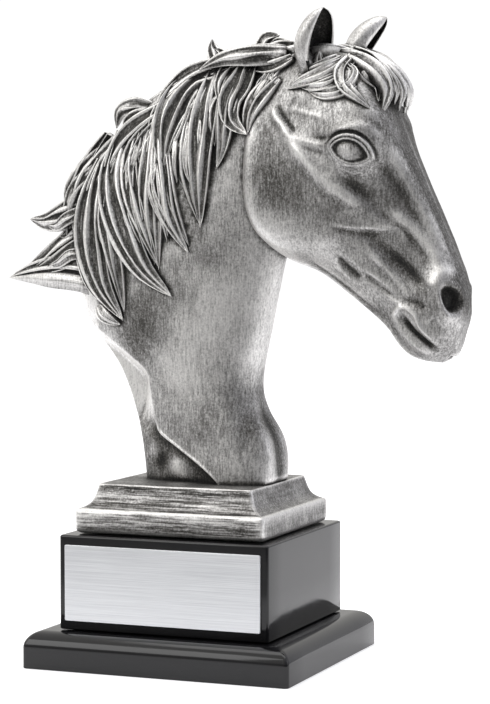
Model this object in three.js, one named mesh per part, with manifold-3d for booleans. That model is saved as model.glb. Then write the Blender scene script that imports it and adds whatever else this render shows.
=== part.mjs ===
// Horse head trophy: a cast horse head and neck with a windblown mane on its own moulded plinth,
// standing on a block and foot of gloss black wood with a blank plate on the front.
// Millimetres, +Z up. The horse looks along +X and the plate faces -Y. The origin is the middle of
// the underside. The animal's form is given along its own lines, the base by its sizes.
import * as THREE from "three";
import { mergeVertices } from "three/addons/utils/BufferGeometryUtils.js";
import Module from "manifold-3d";

const wasm = await Module();
wasm.setup();

// Driving dimensions of the base
const jointGap = 0.3; // clearance between pieces that touch
const footLength = 95;
const footDepth = 87.5;
const footFace = 7; // upright face under the rounded edge
const footHeight = 12.4;
const footCorner = 1.4;
const footEdgeRun = 5.8; // how far the rounded edge reaches in
const blockLength = 75;
const blockDepth = 71;
const blockHeight = 32;
const blockCorner = 1.3;
const blockEdge = 0.9;
const plateLength = 70;
const plateHeight = 25.5;
const plateThickness = 0.8;
const plateCorner = 0.4;

// Driving dimensions of the casting's plinth
const slabLength = 68;
const slabDepth = 62;
const slabHeight = 8.3;
const slabCorner = 1.2;
const slabUndercut = 1.2;
const plinthTopLength = 55.5;
const plinthTopDepth = 51;
const plinthHeight = 16.3;
const coveFoot = 1.4; // ledge between the slab's edge and the cove

// Driving dimensions of the animal
const neckHeight = 145; // plinth top to the crest behind the ears
const headLength = 111; // poll to lips
const headSlope = 63.2; // head axis below the horizontal, degrees
const pollReach = 38; // poll forward of the middle of the base
const pollDrop = 2.7; // poll below the top of the crest
const eyeLength = 13.4;
const eyeHeight = 9;
const lidRise = 1.1;
const nostrilLength = 9.6;
const nostrilWidth = 6.2;
const nostrilDepth = 3.4;
const mouthDepth = 1.1;
const earHeight = 20;
const earWidth = 15.6;
const hairThickness = 2.4;

// Levels and places that follow from them
const blockBottom = footHeight + jointGap;
const blockTop = blockBottom + blockHeight - jointGap;
const plinthBottom = blockTop + jointGap;
const plinthTop = plinthBottom + plinthHeight;
const pollHeight = plinthTop + neckHeight - pollDrop;

// Steps of the faceted surface
const neckSteps = 18;
const neckSides = 20;
const headSteps = 24;
const halfRingSteps = 3; // between two lines of the head
const lockSteps = 6;
const lockSides = 5;
const earSteps = 6;
const earSides = 8;
const rimSteps = 10; // round an eye or a nostril

const radians = (degrees) => (degrees * Math.PI) / 180;
const vec = (x, y, z) => new THREE.Vector3(x, y, z);

// A smooth value through [place, value] knots
function line(knots) {
  const slope = (i) => {
    const a = knots[Math.max(i - 1, 0)];
    const b = knots[Math.min(i + 1, knots.length - 1)];
    return (b[1] - a[1]) / (b[0] - a[0]);
  };
  return (place) => {
    let i = 0;
    while (i < knots.length - 2 && place > knots[i + 1][0]) i++;
    const [from, to] = [knots[i], knots[i + 1]];
    const run = to[0] - from[0];
    const t = THREE.MathUtils.clamp((place - from[0]) / run, 0, 1);
    const held = (2 * t ** 3 - 3 * t ** 2 + 1) * from[1] + (3 * t ** 2 - 2 * t ** 3) * to[1];
    const pulled = (t ** 3 - 2 * t ** 2 + t) * slope(i) + (t ** 3 - t ** 2) * slope(i + 1);
    return held + pulled * run;
  };
}

// A closed skin over rings of as many points each, capped at both ends
function loft(rings) {
  const sides = rings[0].length;
  const points = rings.flat();
  const faces = [];
  for (let i = 0; i < rings.length - 1; i++)
    for (let j = 0; j < sides; j++) {
      const [a, b] = [i * sides + j, i * sides + ((j + 1) % sides)];
      faces.push(a, b, b + sides, a, b + sides, a + sides);
    }
  for (const [ring, start] of [
    [rings[0], 0],
    [rings.at(-1), (rings.length - 1) * sides],
  ]) {
    const middle = ring.reduce((sum, p) => sum.add(p), vec(0, 0, 0)).divideScalar(sides);
    const hub = points.push(middle) - 1;
    for (let j = 0; j < sides; j++) {
      const [a, b] = [start + j, start + ((j + 1) % sides)];
      faces.push(hub, ...(start ? [a, b] : [b, a]));
    }
  }
  return skin(points, faces);
}

// A closed ring of sections, for a rim
function hoop(rings) {
  const sides = rings[0].length;
  const faces = [];
  rings.forEach((_, i) => {
    const next = (i + 1) % rings.length;
    for (let j = 0; j < sides; j++) {
      const [a, b] = [i * sides + j, i * sides + ((j + 1) % sides)];
      const [c, d] = [next * sides + j, next * sides + ((j + 1) % sides)];
      faces.push(a, b, d, a, d, c);
    }
  });
  return skin(rings.flat(), faces);
}

// The geometry of points and faces, turned so that its faces point out
function skin(points, faces) {
  let volume = 0;
  for (let i = 0; i < faces.length; i += 3) {
    const [a, b, c] = faces.slice(i, i + 3).map((k) => points[k]);
    volume += a.dot(b.clone().cross(c));
  }
  const index = volume < 0 ? faces.toReversed() : faces;
  const geometry = new THREE.BufferGeometry().setFromPoints(points);
  return geometry.setIndex(index);
}

function solid(geometry) {
  const bare = geometry.clone();
  bare.deleteAttribute("normal");
  bare.deleteAttribute("uv");
  const merged = mergeVertices(bare, 1e-4);
  return new wasm.Manifold(
    new wasm.Mesh({
      numProp: 3,
      vertProperties: merged.attributes.position.array,
      triVerts: new Uint32Array(merged.index.array),
    }),
  );
}

function geometryOf(made) {
  const mesh = made.getMesh();
  const geometry = new THREE.BufferGeometry();
  geometry.setAttribute("position", new THREE.BufferAttribute(mesh.vertProperties, 3));
  geometry.setIndex(new THREE.BufferAttribute(mesh.triVerts, 1));
  return geometry;
}

// A level rectangle with rounded corners
function roundedRing(length, depth, corner, height, cornerSteps = 3) {
  const ring = [];
  for (let quarter = 0; quarter < 4; quarter++) {
    const sx = quarter === 0 || quarter === 3 ? 1 : -1;
    const sy = quarter < 2 ? 1 : -1;
    for (let k = 0; k <= cornerSteps; k++) {
      const turn = radians(90 * (quarter + k / cornerSteps));
      const x = sx * (length / 2 - corner) + corner * Math.cos(turn);
      const y = sy * (depth / 2 - corner) + corner * Math.sin(turn);
      ring.push(vec(x, y, height));
    }
  }
  return ring;
}

// The foot: an upright face under a quarter-round edge
function footGeometry() {
  const rings = [roundedRing(footLength, footDepth, footCorner, 0)];
  const edgeSteps = 6;
  for (let k = 0; k <= edgeSteps; k++) {
    const turn = radians((90 * k) / edgeSteps);
    const inset = footEdgeRun * (1 - Math.cos(turn));
    const height = footFace + (footHeight - footFace) * Math.sin(turn);
    rings.push(roundedRing(footLength - 2 * inset, footDepth - 2 * inset, footCorner, height));
  }
  return loft(rings);
}

// The block, with a softened top edge
function blockGeometry() {
  const rings = [roundedRing(blockLength, blockDepth, blockCorner, blockBottom)];
  const edgeSteps = 3;
  for (let k = 0; k <= edgeSteps; k++) {
    const turn = radians((90 * k) / edgeSteps);
    const inset = blockEdge * (1 - Math.cos(turn));
    const height = blockTop - blockEdge + blockEdge * Math.sin(turn);
    rings.push(roundedRing(blockLength - 2 * inset, blockDepth - 2 * inset, blockCorner, height));
  }
  return loft(rings);
}

// The plate, upright on the block's front face
function plateGeometry() {
  const outline = roundedRing(plateLength, plateHeight, plateCorner, 0, 2);
  const stand = (offset) =>
    outline.map((p) => vec(p.x, -offset, (blockBottom + blockTop) / 2 + p.y));
  const back = blockDepth / 2 + jointGap;
  return loft([stand(back), stand(back + plateThickness)]);
}

// The casting's plinth: a slab with an undercut lower edge, a cove and a top
function plinthGeometry() {
  const rings = [];
  const slabAt = (inset, height) =>
    roundedRing(slabLength - 2 * inset, slabDepth - 2 * inset, slabCorner, plinthBottom + height);
  rings.push(slabAt(slabUndercut, 0));
  rings.push(slabAt(slabUndercut * 0.3, slabUndercut * 0.5));
  rings.push(slabAt(0, slabUndercut * 1.3));
  rings.push(slabAt(0, slabHeight - slabUndercut));
  rings.push(slabAt(slabUndercut * 0.35, slabHeight - slabUndercut * 0.25));
  rings.push(slabAt(coveFoot, slabHeight));
  const coveSteps = 6;
  for (let k = 1; k <= coveSteps; k++) {
    const down = 1 - k / coveSteps;
    const out = 0.45 * down + 0.55 * down ** 6;
    const lengthwise = slabLength - 2 * coveFoot - plinthTopLength;
    const deepwise = slabDepth - 2 * coveFoot - plinthTopDepth;
    const height = plinthTop - (plinthHeight - slabHeight) * down;
    const [length, depth] = [plinthTopLength + lengthwise * out, plinthTopDepth + deepwise * out];
    rings.push(roundedRing(length, depth, slabCorner, height));
  }
  return loft(rings);
}

// The neck's throat and crest lines as it rises from plinth to poll: [share of the way, forward of
// the base's middle], and [share of the way, share of the neck's height above the plinth].
const throatReach = [
  [0, 28.8], [0.1, 27.4], [0.2, 22.4], [0.3, 20.8], [0.45, 24.8], [0.6, 29.5], [0.8, 36], [1, 52],
];
const throatRise = [
  [0, -0.02], [0.1, 0.09], [0.2, 0.165], [0.3, 0.235], [0.45, 0.372], [0.6, 0.524], [0.8, 0.697],
  [1, 0.834],
];
const crestReach = [
  [0, -19.6], [0.1, -21.4], [0.2, -24], [0.3, -30], [0.45, -45], [0.6, -42], [0.8, -16], [1, 36],
];
const crestRise = [
  [0, -0.02], [0.1, 0.083], [0.2, 0.159], [0.3, 0.262], [0.45, 0.428], [0.6, 0.676], [0.8, 0.883],
  [1, 1],
];

// Its lines by name: half width, how much the crest side narrows, and how round its section is
const neckLines = {
  throatX: line(throatReach),
  throatZ: line(throatRise),
  crestX: line(crestReach),
  crestZ: line(crestRise),
  half: line([[0, 15.4], [0.12, 14.8], [0.3, 13.8], [0.45, 14.6], [0.65, 14.6], [0.85, 12.5], [1, 9]]),
  crestThin: line([[0, 0.5], [0.2, 0.45], [0.7, 0.45], [1, 0.2]]),
  roundness: line([[0, 0.46], [0.12, 0.5], [0.3, 0.64], [0.45, 0.72], [1, 0.72]]),
};

function neckGeometry() {
  const rings = [];
  for (let i = 0; i <= neckSteps; i++) {
    const way = i / neckSteps;
    const front = [neckLines.throatX(way), neckLines.throatZ(way) * neckHeight + plinthTop];
    const back = [neckLines.crestX(way), neckLines.crestZ(way) * neckHeight + plinthTop];
    const ring = [];
    for (let j = 0; j < neckSides; j++) {
      const turn = (2 * Math.PI * j) / neckSides;
      const share = (1 - Math.cos(turn)) / 2;
      const round = Math.abs(Math.sin(turn)) ** neckLines.roundness(way);
      const bulge = round * Math.sign(Math.sin(turn));
      const width = neckLines.half(way) * (1 - neckLines.crestThin(way) * share ** 2);
      const x = THREE.MathUtils.lerp(front[0], back[0], share);
      const z = THREE.MathUtils.lerp(front[1], back[1], share);
      ring.push(vec(x, width * bulge, z));
    }
    rings.push(ring);
  }
  return loft(rings);
}

// The head's outline above and below its axis at places from the poll to the lips, in the outline's
// own units, which grow with the head
const headStart = -5;
const faceOutline = [
  [headStart, 2], [0, 8], [8, 14.5], [16, 18.2], [28, 20.2], [42, 19.2], [67, 17.8], [88, 16.4],
  [97, 13.8], [107, 6.6], [111, 2.6],
];
const headEnd = faceOutline.at(-1)[0];
const headGrow = headLength / headEnd;
const jawOutline = [
  [headStart, -8], [2, -20], [14, -28], [32, -38], [43, -40.3], [51, -38.4], [58, -34.6],
  [66, -27.6], [78, -21.4], [92, -15], [99, -13.6], [104, -11.6], [108, -7.8], [headEnd, -3],
];

// Its half widths along lines on the skull
const topWidth = [
  [headStart, 2], [8, 7.5], [16, 10.5], [30, 13.4], [38, 12.6], [48, 9], [67, 6.8], [88, 6.6],
  [100, 5.4], [108, 3.4], [headEnd, 1.4],
];
const browWidth = [
  [headStart, 3.5], [8, 12], [20, 16.2], [32, 18.8], [40, 18.2], [50, 13.4], [67, 10], [80, 9.6],
  [92, 11.2], [100, 10], [108, 6], [headEnd, 2.2],
];
const crestWidth = [
  [headStart, 4], [8, 13], [24, 16.6], [40, 16.8], [52, 15.4], [67, 11.8], [80, 9.9], [92, 10.8],
  [102, 9.8], [108, 7], [headEnd, 2.6],
];
const cheekWidth = [
  [headStart, 3.5], [8, 12.6], [24, 15.8], [44, 16.2], [56, 14.8], [67, 12], [80, 10], [94, 9.2],
  [103, 8.2], [108, 6.2], [headEnd, 2.4],
];
const jowlWidth = [
  [headStart, 2], [8, 11], [20, 14], [32, 14.6], [44, 13.8], [52, 11.8], [60, 8.8], [67, 6.6],
  [80, 5.2], [98, 5.4], [106, 4.8], [headEnd, 1.6],
];
const headLines = {
  face: line(faceOutline),
  jaw: line(jawOutline),
  top: line(topWidth),
  brow: line(browWidth),
  crest: line(crestWidth),
  cheek: line(cheekWidth),
  jowl: line(jowlWidth),
};

// How high each of those lines runs, as a share of the way from jaw to face
const headLevels = [
  [0.965, "top"],
  [0.8, "brow"],
  [0.57, "crest"],
  [0.3, "cheek"],
  [0.05, "jowl"],
];

// A place measured from the poll, and one on the head: along its axis, above it, and to the side
const poll = vec(pollReach, 0, pollHeight);
const fromPoll = (x, y, z) => vec(x, y, z).multiplyScalar(headGrow).add(poll);
function headPlace(along, above, side) {
  const slope = radians(-headSlope);
  const forward = along * Math.cos(slope) - above * Math.sin(slope);
  const up = along * Math.sin(slope) + above * Math.cos(slope);
  return fromPoll(forward, side, up);
}

// A place on the neck, at a share of its height above the plinth
const neckPlace = (x, y, share) => vec(x, y, plinthTop + share * neckHeight);

// Half width of the head at a place along and above its axis
function headHalf(along, above) {
  const [low, high] = [headLines.jaw(along), headLines.face(along)];
  const level = (above - low) / (high - low);
  const knots = headLevels.map(([at, name]) => [at, headLines[name](along)]).reverse();
  return line(knots)(level) + faceSwell(along, above);
}

// Low forms of the face: a path of [along, above], how far each spreads and how high it stands
const faceForms = {
  facialCrest: { path: [[22, -12.5], [34, -10.5], [45, -7], [58, -1]], spread: 3, height: 1.5 },
  underCrest: { path: [[50, -12], [62, -5.5], [72, -1], [86, 4]], spread: 3, height: -1.7 },
  browRidge: { path: [[25, -6], [29, 2], [31, 10], [36, 14]], spread: 2.6, height: 1.3 },
  templeHollow: { path: [[15, -8], [20, 0]], spread: 5, height: -1.4 },
  eyeHollow: { path: [[44, -2], [50, 6]], spread: 4, height: -1.2 },
  nasalRidge: { path: [[44, 15.5], [60, 15.4], [76, 14.4]], spread: 2.4, height: 1 },
  liftingMuscle: { path: [[54, 0], [64, 4.7], [75, 9], [84, 9.4]], spread: 2.4, height: 1 },
  nostrilRim: { path: [[87, 8], [89, 14.5], [96, 13.6]], spread: 2.6, height: 1.6 },
  nostrilFold: { path: [[93, 5.6], [99, 6.6]], spread: 2.2, height: 0.9 },
  jawHollow: { path: [[64, -17], [75, -13]], spread: 2.4, height: -1.3 },
  lipCorner: { path: [[87, -10.5], [88.5, -5.5], [94, -2.4]], spread: 2.2, height: 1.4 },
  cheekEdge: { path: [[20, -27], [34, -33], [50, -33], [58, -28]], spread: 3.4, height: 0.8 },
};

// Distance from a place to the nearest stretch of a path
function pathDistance(path, x, y) {
  let nearest = Infinity;
  for (let i = 1; i < path.length; i++) {
    const [ax, ay] = path[i - 1];
    const [dx, dy] = [path[i][0] - ax, path[i][1] - ay];
    const t = THREE.MathUtils.clamp(((x - ax) * dx + (y - ay) * dy) / (dx * dx + dy * dy), 0, 1);
    nearest = Math.min(nearest, Math.hypot(x - ax - t * dx, y - ay - t * dy));
  }
  return nearest;
}

// How far the low forms push the side of the face out at a place
function faceSwell(along, above) {
  let swell = 0;
  for (const { path, spread, height } of Object.values(faceForms))
    swell += height * Math.exp(-((pathDistance(path, along, above) / spread) ** 2));
  return swell;
}

function headGeometry() {
  const rings = [];
  for (let i = 0; i <= headSteps; i++) {
    const along = THREE.MathUtils.lerp(headStart, headEnd, i / headSteps);
    const [low, high] = [headLines.jaw(along), headLines.face(along)];
    const knots = [[high, 0]];
    for (const [at, name] of headLevels)
      knots.push([low + (high - low) * at, headLines[name](along)]);
    knots.push([low, 0]);
    const places = knots.map(([above, side]) => vec(along, above, side));
    const curve = new THREE.CatmullRomCurve3(places, false, "centripetal");
    const half = curve.getPoints((knots.length - 1) * halfRingSteps).map((p) => {
      const fade = Math.min(p.z / 4, 1); // the low forms fade out towards the midline
      return headPlace(p.x, p.y, p.z + faceSwell(p.x, p.y) * fade);
    });
    const mirrored = half.slice(1, -1).reverse().map((p) => vec(p.x, -p.y, p.z));
    rings.push([...half, ...mirrored]);
  }
  return loft(rings);
}

// A run of sections along a path, each with its half width and how far it stands out and sinks in
function strand(path, sections, sides = lockSides) {
  const curve = new THREE.CatmullRomCurve3(path);
  const rings = sections.map(({ at, out, half, rise, sink }) => {
    const middle = curve.getPoint(at);
    const across = curve.getTangent(at).cross(out).normalize();
    const lift = across.clone().cross(curve.getTangent(at)).normalize();
    if (lift.dot(out) < 0) lift.negate();
    return Array.from({ length: sides }, (_, j) => {
      const turn = (2 * Math.PI * (j + 0.25)) / sides;
      const height = Math.sin(turn) * (Math.sin(turn) > 0 ? rise : sink);
      return middle
        .clone()
        .addScaledVector(across, half * Math.cos(turn))
        .addScaledVector(lift, height);
    });
  });
  return loft(rings);
}

// A lock of hair: widest a little past its root, drawn out to a point
function lock(path, out, width, thickness, sinkShare, rootShare = 0.6) {
  const sections = Array.from({ length: lockSteps + 1 }, (_, i) => {
    const at = i / lockSteps;
    const swell = rootShare + (1 - rootShare) * Math.sin(Math.min(at / 0.4, 1) * (Math.PI / 2));
    const taper = 1 - THREE.MathUtils.clamp((at - 0.3) / 0.7, 0, 0.96) ** 2;
    const full = swell * taper;
    const [half, rise] = [(width / 2) * full, thickness * full];
    return { at, out, half, rise, sink: rise * sinkShare };
  });
  return strand(path, sections);
}

// The body that the hair and the fine forms are set on
let body = solid(neckGeometry()).add(solid(headGeometry()));
const anySide = new THREE.MeshBasicMaterial({ side: THREE.DoubleSide });
const bodyMesh = new THREE.Mesh(geometryOf(body), anySide);
const seeker = new THREE.Raycaster();

// How far out the body's side lies at a place seen from the side, or less than zero past its outline
function bodySide(x, z, side) {
  seeker.set(vec(x, side * 100, z), vec(0, -side, 0));
  const hit = seeker.intersectObject(bodyMesh)[0];
  return hit ? Math.abs(hit.point.y) : -1;
}

// Eyes: a ball in a rim, under a brow
const eyePlace = { along: 37.6, above: 5.2, tilt: 47 };
const eyeDome = 1.7;
const eyeRoot = 5; // how deep the ball sits in the skull
function eyeParts(side) {
  const { along, above, tilt } = eyePlace;
  const rimTurns = Array.from({ length: rimSteps }, (_, i) => (2 * Math.PI * i) / rimSteps);
  const edge = (turn, grow) => {
    const u = (eyeLength / 2) * Math.cos(turn) * grow;
    const v = (eyeHeight / 2) * Math.sin(turn) * grow;
    const a = along + u * Math.cos(radians(tilt)) - v * Math.sin(radians(tilt));
    const b = above + u * Math.sin(radians(tilt)) + v * Math.cos(radians(tilt));
    return [a, b];
  };
  const lids = rimTurns.map((turn) =>
    Array.from({ length: lockSides }, (_, j) => {
      const round = (2 * Math.PI * j) / lockSides;
      const [a, b] = edge(turn, 1 + 0.16 * Math.cos(round));
      return headPlace(a, b, side * (headHalf(a, b) + 0.2 + lidRise * Math.sin(round)));
    }),
  );
  const ball = [0.3, 0.7, 1].map((grow) =>
    rimTurns.map((turn) => {
      const [a, b] = edge(turn, grow);
      const dome = eyeDome * Math.sqrt(1 - grow ** 2);
      return headPlace(a, b, side * (headHalf(a, b) + 0.1 + dome));
    }),
  );
  const root = rimTurns.map((turn) => {
    const [a, b] = edge(turn, 1);
    return headPlace(a, b, side * (headHalf(along, above) - eyeRoot));
  });
  return [hoop(lids), loft([...ball, root])];
}

// Cut forms: the nostrils, and the line of the mouth round the muzzle
const nostrilPlace = { along: 94.4, above: 10.4, lean: 0.2 };
function nostril(side) {
  const { along, above, lean } = nostrilPlace;
  const rings = [-1, -0.4, 0.3, 1].map((depth) => {
    const grow = 0.8 + 0.35 * depth; // narrower inside
    return Array.from({ length: rimSteps }, (_, j) => {
      const turn = (2 * Math.PI * j) / rimSteps;
      const a = along + (nostrilLength / 2) * grow * Math.cos(turn);
      const b = above + (nostrilWidth / 2) * grow * Math.sin(turn) - lean * (a - along);
      return headPlace(a, b, side * (headHalf(along, above) + depth * nostrilDepth));
    });
  });
  return loft(rings);
}

const mouthLine = line([[89.5, -7.4], [92, -6.2], [99, -4.2], [105.4, -2.6], [headEnd, -0.4]]);
function mouth() {
  const run = [90.5, 94, 98, 102, 106, 109];
  const near = run.map((along) => [along, -headHalf(along, mouthLine(along))]);
  const far = run.toReversed().map((along) => [along, headHalf(along, mouthLine(along))]);
  const places = [...near, [headEnd - 0.1, 0], ...far];
  const rings = places.map(([along, side], i) => {
    const radius = mouthDepth * (0.45 + 0.55 * Math.sin((Math.PI * i) / (places.length - 1)));
    return Array.from({ length: 6 }, (_, j) => {
      const turn = (2 * Math.PI * j) / 6;
      const inward = (radius * Math.cos(turn)) / 12; // as a share of the muzzle's half width
      const height = mouthLine(along) + 0.7 * radius * Math.sin(turn);
      return headPlace(along * (1 + 0.1 * inward), height, side * (1 - inward));
    });
  });
  return loft(rings);
}

// Ears: a leaf-shaped cup on the head, with the way it leans and the way it opens. The near ear
// stands up, the far one leans forward.
const earCup = { grow: 0.8, shift: 2.6, from: 0.16, to: 0.97 };
const earShell = { grow: 1, shift: 0, from: -0.3, to: 1 };
const ears = [
  { root: [5.1, 2.8, -9.3], lean: [5.6, -5, 18.4], open: [0.93, -0.37, 0.03] },
  { root: [6.8, 9.5, 9.3], lean: [11.1, 4.8, 15.9], open: [0.97, 0.18, -0.15] },
];
const earSpread = line([[-0.3, 0.4], [0, 0.74], [0.3, 1], [0.55, 0.97], [0.8, 0.7], [0.94, 0.36], [1, 0.06]]);

function earSkin({ root, lean, open }, { grow, shift, from, to }) {
  const foot = headPlace(...root);
  const axis = vec(...lean).normalize();
  const out = vec(...open).addScaledVector(axis, -vec(...open).dot(axis)).normalize();
  const across = axis.clone().cross(out);
  const rings = Array.from({ length: earSteps + 1 }, (_, i) => {
    const at = from + ((to - from) * i) / earSteps;
    const half = (earWidth / 2) * earSpread(at) * grow;
    const bow = 1.2 * Math.sin(Math.PI * at);
    return Array.from({ length: earSides }, (_, j) => {
      const turn = (2 * Math.PI * j) / earSides;
      return foot
        .clone()
        .addScaledVector(axis, at * earHeight)
        .addScaledVector(across, half * Math.cos(turn))
        .addScaledVector(out, half * 0.62 * Math.sin(turn) + shift * earSpread(at) - bow);
    });
  });
  return loft(rings);
}

// Mane: each lock's path seen from the side as [x, share of the neck's height] from root to tip,
// its width and its lift off the neck. The near side has them all, the far side not the under ones.
const maneLocks = {
  lowest: { path: [[-33, 0.724], [-39, 0.607], [-38, 0.483], [-25.4, 0.377]], width: 13, lift: 1.5 },
  rearEdge: { path: [[-40, 0.69], [-44, 0.586], [-42.5, 0.483], [-32, 0.385]], width: 8, lift: 0.4, under: true },
  broad: { path: [[-28, 0.807], [-29, 0.683], [-22, 0.559], [-8.3, 0.434]], width: 12, lift: 2.2 },
  underBroad: { path: [[-34, 0.724], [-32, 0.614], [-25, 0.517], [-10, 0.438]], width: 8, lift: 1, under: true },
  inner: { path: [[-19, 0.766], [-19, 0.669], [-16, 0.572], [-11.5, 0.497]], width: 6, lift: 0.8, under: true },
  short: { path: [[-12.5, 0.745], [-10, 0.669], [-6, 0.593], [-0.8, 0.535]], width: 7.5, lift: 1 },
  long: { path: [[4.5, 0.938], [4, 0.834], [1.5, 0.724], [4, 0.6]], width: 8.5, lift: 1.8 },
  besideLong: { path: [[0, 0.897], [-2, 0.807], [-3, 0.724], [-0.5, 0.641]], width: 6, lift: 0.9, under: true },
  leaf: { path: [[3.5, 0.945], [-5.5, 0.89], [-10, 0.814], [-11.5, 0.727]], width: 12, lift: 2.6 },
  throatLatch: { path: [[14, 0.869], [12.5, 0.8], [9.4, 0.737]], width: 7, lift: 1 },
  curled: { path: [[11, 0.972], [9.5, 0.917], [13, 0.862], [21.2, 0.807]], width: 9.5, lift: 2.4 },
  fineFirst: { path: [[22.5, 0.938], [21, 0.876], [19.4, 0.821]], width: 4.5, lift: 1.2, under: true },
  fineSecond: { path: [[29, 0.931], [25.5, 0.869], [21.5, 0.814]], width: 4.5, lift: 1 },
  level: { path: [[34, 0.99], [25, 0.976], [14.5, 0.979]], width: 8, lift: 2.4 },
  highRear: { path: [[-8, 0.917], [-17, 0.869], [-24, 0.793], [-29, 0.683]], width: 10, lift: 1.8 },
  midRear: { path: [[-20, 0.869], [-28, 0.814], [-34, 0.731], [-38, 0.634]], width: 10, lift: 1.6 },
  lowRear: { path: [[-31, 0.814], [-38, 0.745], [-43, 0.669], [-45, 0.579]], width: 9, lift: 1.2 },
};

// Hair that flies off the crest, with its own distance to the side: [x, y, share of the height]
const flyingLocks = {
  long: { path: [[-34, 0, 0.455], [-47, 0, 0.469], [-60, 0, 0.476], [-74, 0, 0.472]], width: 21, thickness: 7 },
  over: { path: [[-38, 1, 0.607], [-47, 1, 0.559], [-57, 0, 0.514], [-69, 0, 0.483]], width: 14, thickness: 5.5 },
  short: { path: [[-39, 0, 0.659], [-50, 0, 0.624], [-58, 0, 0.608], [-66, 0, 0.617]], width: 11, thickness: 5 },
  flap: { path: [[-34, 0, 0.772], [-42, 0, 0.724], [-49, 0, 0.683], [-52, 0, 0.628]], width: 9, thickness: 5 },
  crestRoll: { path: [[-6, 0, 0.924], [-17, 0, 0.869], [-29, 0, 0.793], [-38, 0, 0.745]], width: 8, thickness: 6 },
  curl: { path: [[-17, -2, 0.869], [-23, -3, 0.879], [-29, -3, 0.865], [-31, -3, 0.828]], width: 6, thickness: 3.4 },
  tuft: { path: [[5, -3, 0.945], [6, -3, 0.979], [5, -3, 1.011], [4.6, -3, 1.032]], width: 6, thickness: 2.6 },
  crownTuft: { path: [[24, 1, 0.972], [22.6, 1, 1.003], [23.6, 1, 1.028], [27.6, 1, 1.039]], width: 8, thickness: 3 },
  crestTop: { path: [[34, -2, 0.972], [20, -2, 0.975], [7, -2, 0.963], [-6, -2, 0.921]], width: 10, thickness: 6 },
};

// Forelock: hair over the forehead, [x, y, z] from the poll
const forelocks = {
  cap: { path: [[-2, 0, -0.3], [7, 0, 1.1], [16, 0, -0.5], [23, 0, -5.7]], width: 17, thickness: 2.6 },
  middle: { path: [[16, 2, -1.1], [23.4, 2, -3.9], [29.4, 3, -8.5], [32.6, 4, -14.3]], width: 10, thickness: 2.6 },
  nearDrop: { path: [[17, -5, -1.3], [21, -7, -7.3], [24, -8, -13.3], [27.5, -8, -18.5]], width: 9, thickness: 2.2 },
  nearSweep: { path: [[18, -6, -3.3], [12.5, -12, -7.3], [6, -14.5, -9.7], [-2, -14.5, -11.1]], width: 7, thickness: 2 },
  nearUnder: { path: [[19, -7, -6.3], [14, -13, -11.3], [8.5, -15, -12.7], [3, -15.4, -12.3]], width: 5, thickness: 1.6 },
  farDrop: { path: [[18, 6, -1.3], [23, 9, -6.3], [27, 10, -12.3], [29.5, 9, -17.8]], width: 9, thickness: 2.2 },
  farSweep: { path: [[16, 7, -2.3], [12, 12, -6.3], [6, 14.5, -9.3], [-1, 14.5, -12.3]], width: 7, thickness: 2 },
};

function maneLock({ path, width, lift }, side) {
  const places = path.map(([x, share], i) => {
    const settle = i === path.length - 1 ? 0.2 : 1;
    const place = neckPlace(x, 0, share);
    const reach = Math.max(bodySide(place.x, place.z, side), 3);
    return place.setY(side * (reach + lift * settle - 0.6));
  });
  return lock(places, vec(0, side, 0), width, hairThickness, 1.7);
}

// The neck's lower rear corner is cut back on each side, under a slanting edge
const flankEdge = [[12, -4], [10.6, 0.1], [3.5, 5.3], [-4, 10], [-11.3, 15.7], [-14, 23], [-15, 37]];
const flankDepth = 9.6; // half width left between the two cuts
function flankCut(side) {
  const outline = [[-40, -4], ...flankEdge, [-40, 37]];
  const level = (y) => outline.map(([x, z]) => vec(x, side * y, plinthTop + z));
  return loft([level(flankDepth), level(slabDepth / 2)]);
}

for (const side of [-1, 1]) {
  body = body.subtract(solid(flankCut(side)));
  for (const piece of eyeParts(side)) body = body.add(solid(piece));
  body = body.subtract(solid(nostril(side)));
  for (const row of Object.values(maneLocks))
    if (side < 0 || !row.under) body = body.add(solid(maneLock(row, side)));
}
body = body.subtract(solid(mouth()));
for (const { path, width, thickness } of Object.values(flyingLocks)) {
  const places = path.map((p) => neckPlace(...p));
  body = body.add(solid(lock(places, vec(0, -1, 0), width, thickness, 1, 0.9)));
}
for (const { path, width, thickness } of Object.values(forelocks)) {
  const places = path.map((p) => fromPoll(...p));
  const out = vec(0.45, path[1][1] * 0.12, 0.8).normalize();
  body = body.add(solid(lock(places, out, width, thickness, 1.8, 0.7)));
}
for (const ear of ears) {
  const cup = solid(earSkin(ear, earCup));
  body = body.add(solid(earSkin(ear, earShell)).subtract(cup));
}
const casting = body.add(solid(plinthGeometry()));

// Materials
const silver = new THREE.MeshStandardMaterial({ color: 0x9a9a98, roughness: 0.38, metalness: 0.9 });
const blackGloss = new THREE.MeshStandardMaterial({ color: 0x0b0b0c, roughness: 0.08, metalness: 0 });
const brushedPlate = new THREE.MeshStandardMaterial({ color: 0xc9cdd2, roughness: 0.34, metalness: 1 });

// Assembly
const trophy = new THREE.Group();
function addPiece(name, geometry, material) {
  const mesh = new THREE.Mesh(geometry, material);
  mesh.name = name;
  trophy.add(mesh);
}
addPiece("horse_casting", geometryOf(casting), silver);
addPiece("base_block", blockGeometry(), blackGloss);
addPiece("base_foot", footGeometry(), blackGloss);
addPiece("plate", plateGeometry(), brushedPlate);

export default trophy;
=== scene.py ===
# Horse head trophy: an antiqued silver casting on a gloss black block and foot, with a blank plate.
# Metres in the model's own frame. Shapes are worked out in millimetres and scaled at the end.
import math

import bmesh
import bpy
import numpy as np
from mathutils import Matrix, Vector
from mathutils.bvhtree import BVHTree


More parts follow.
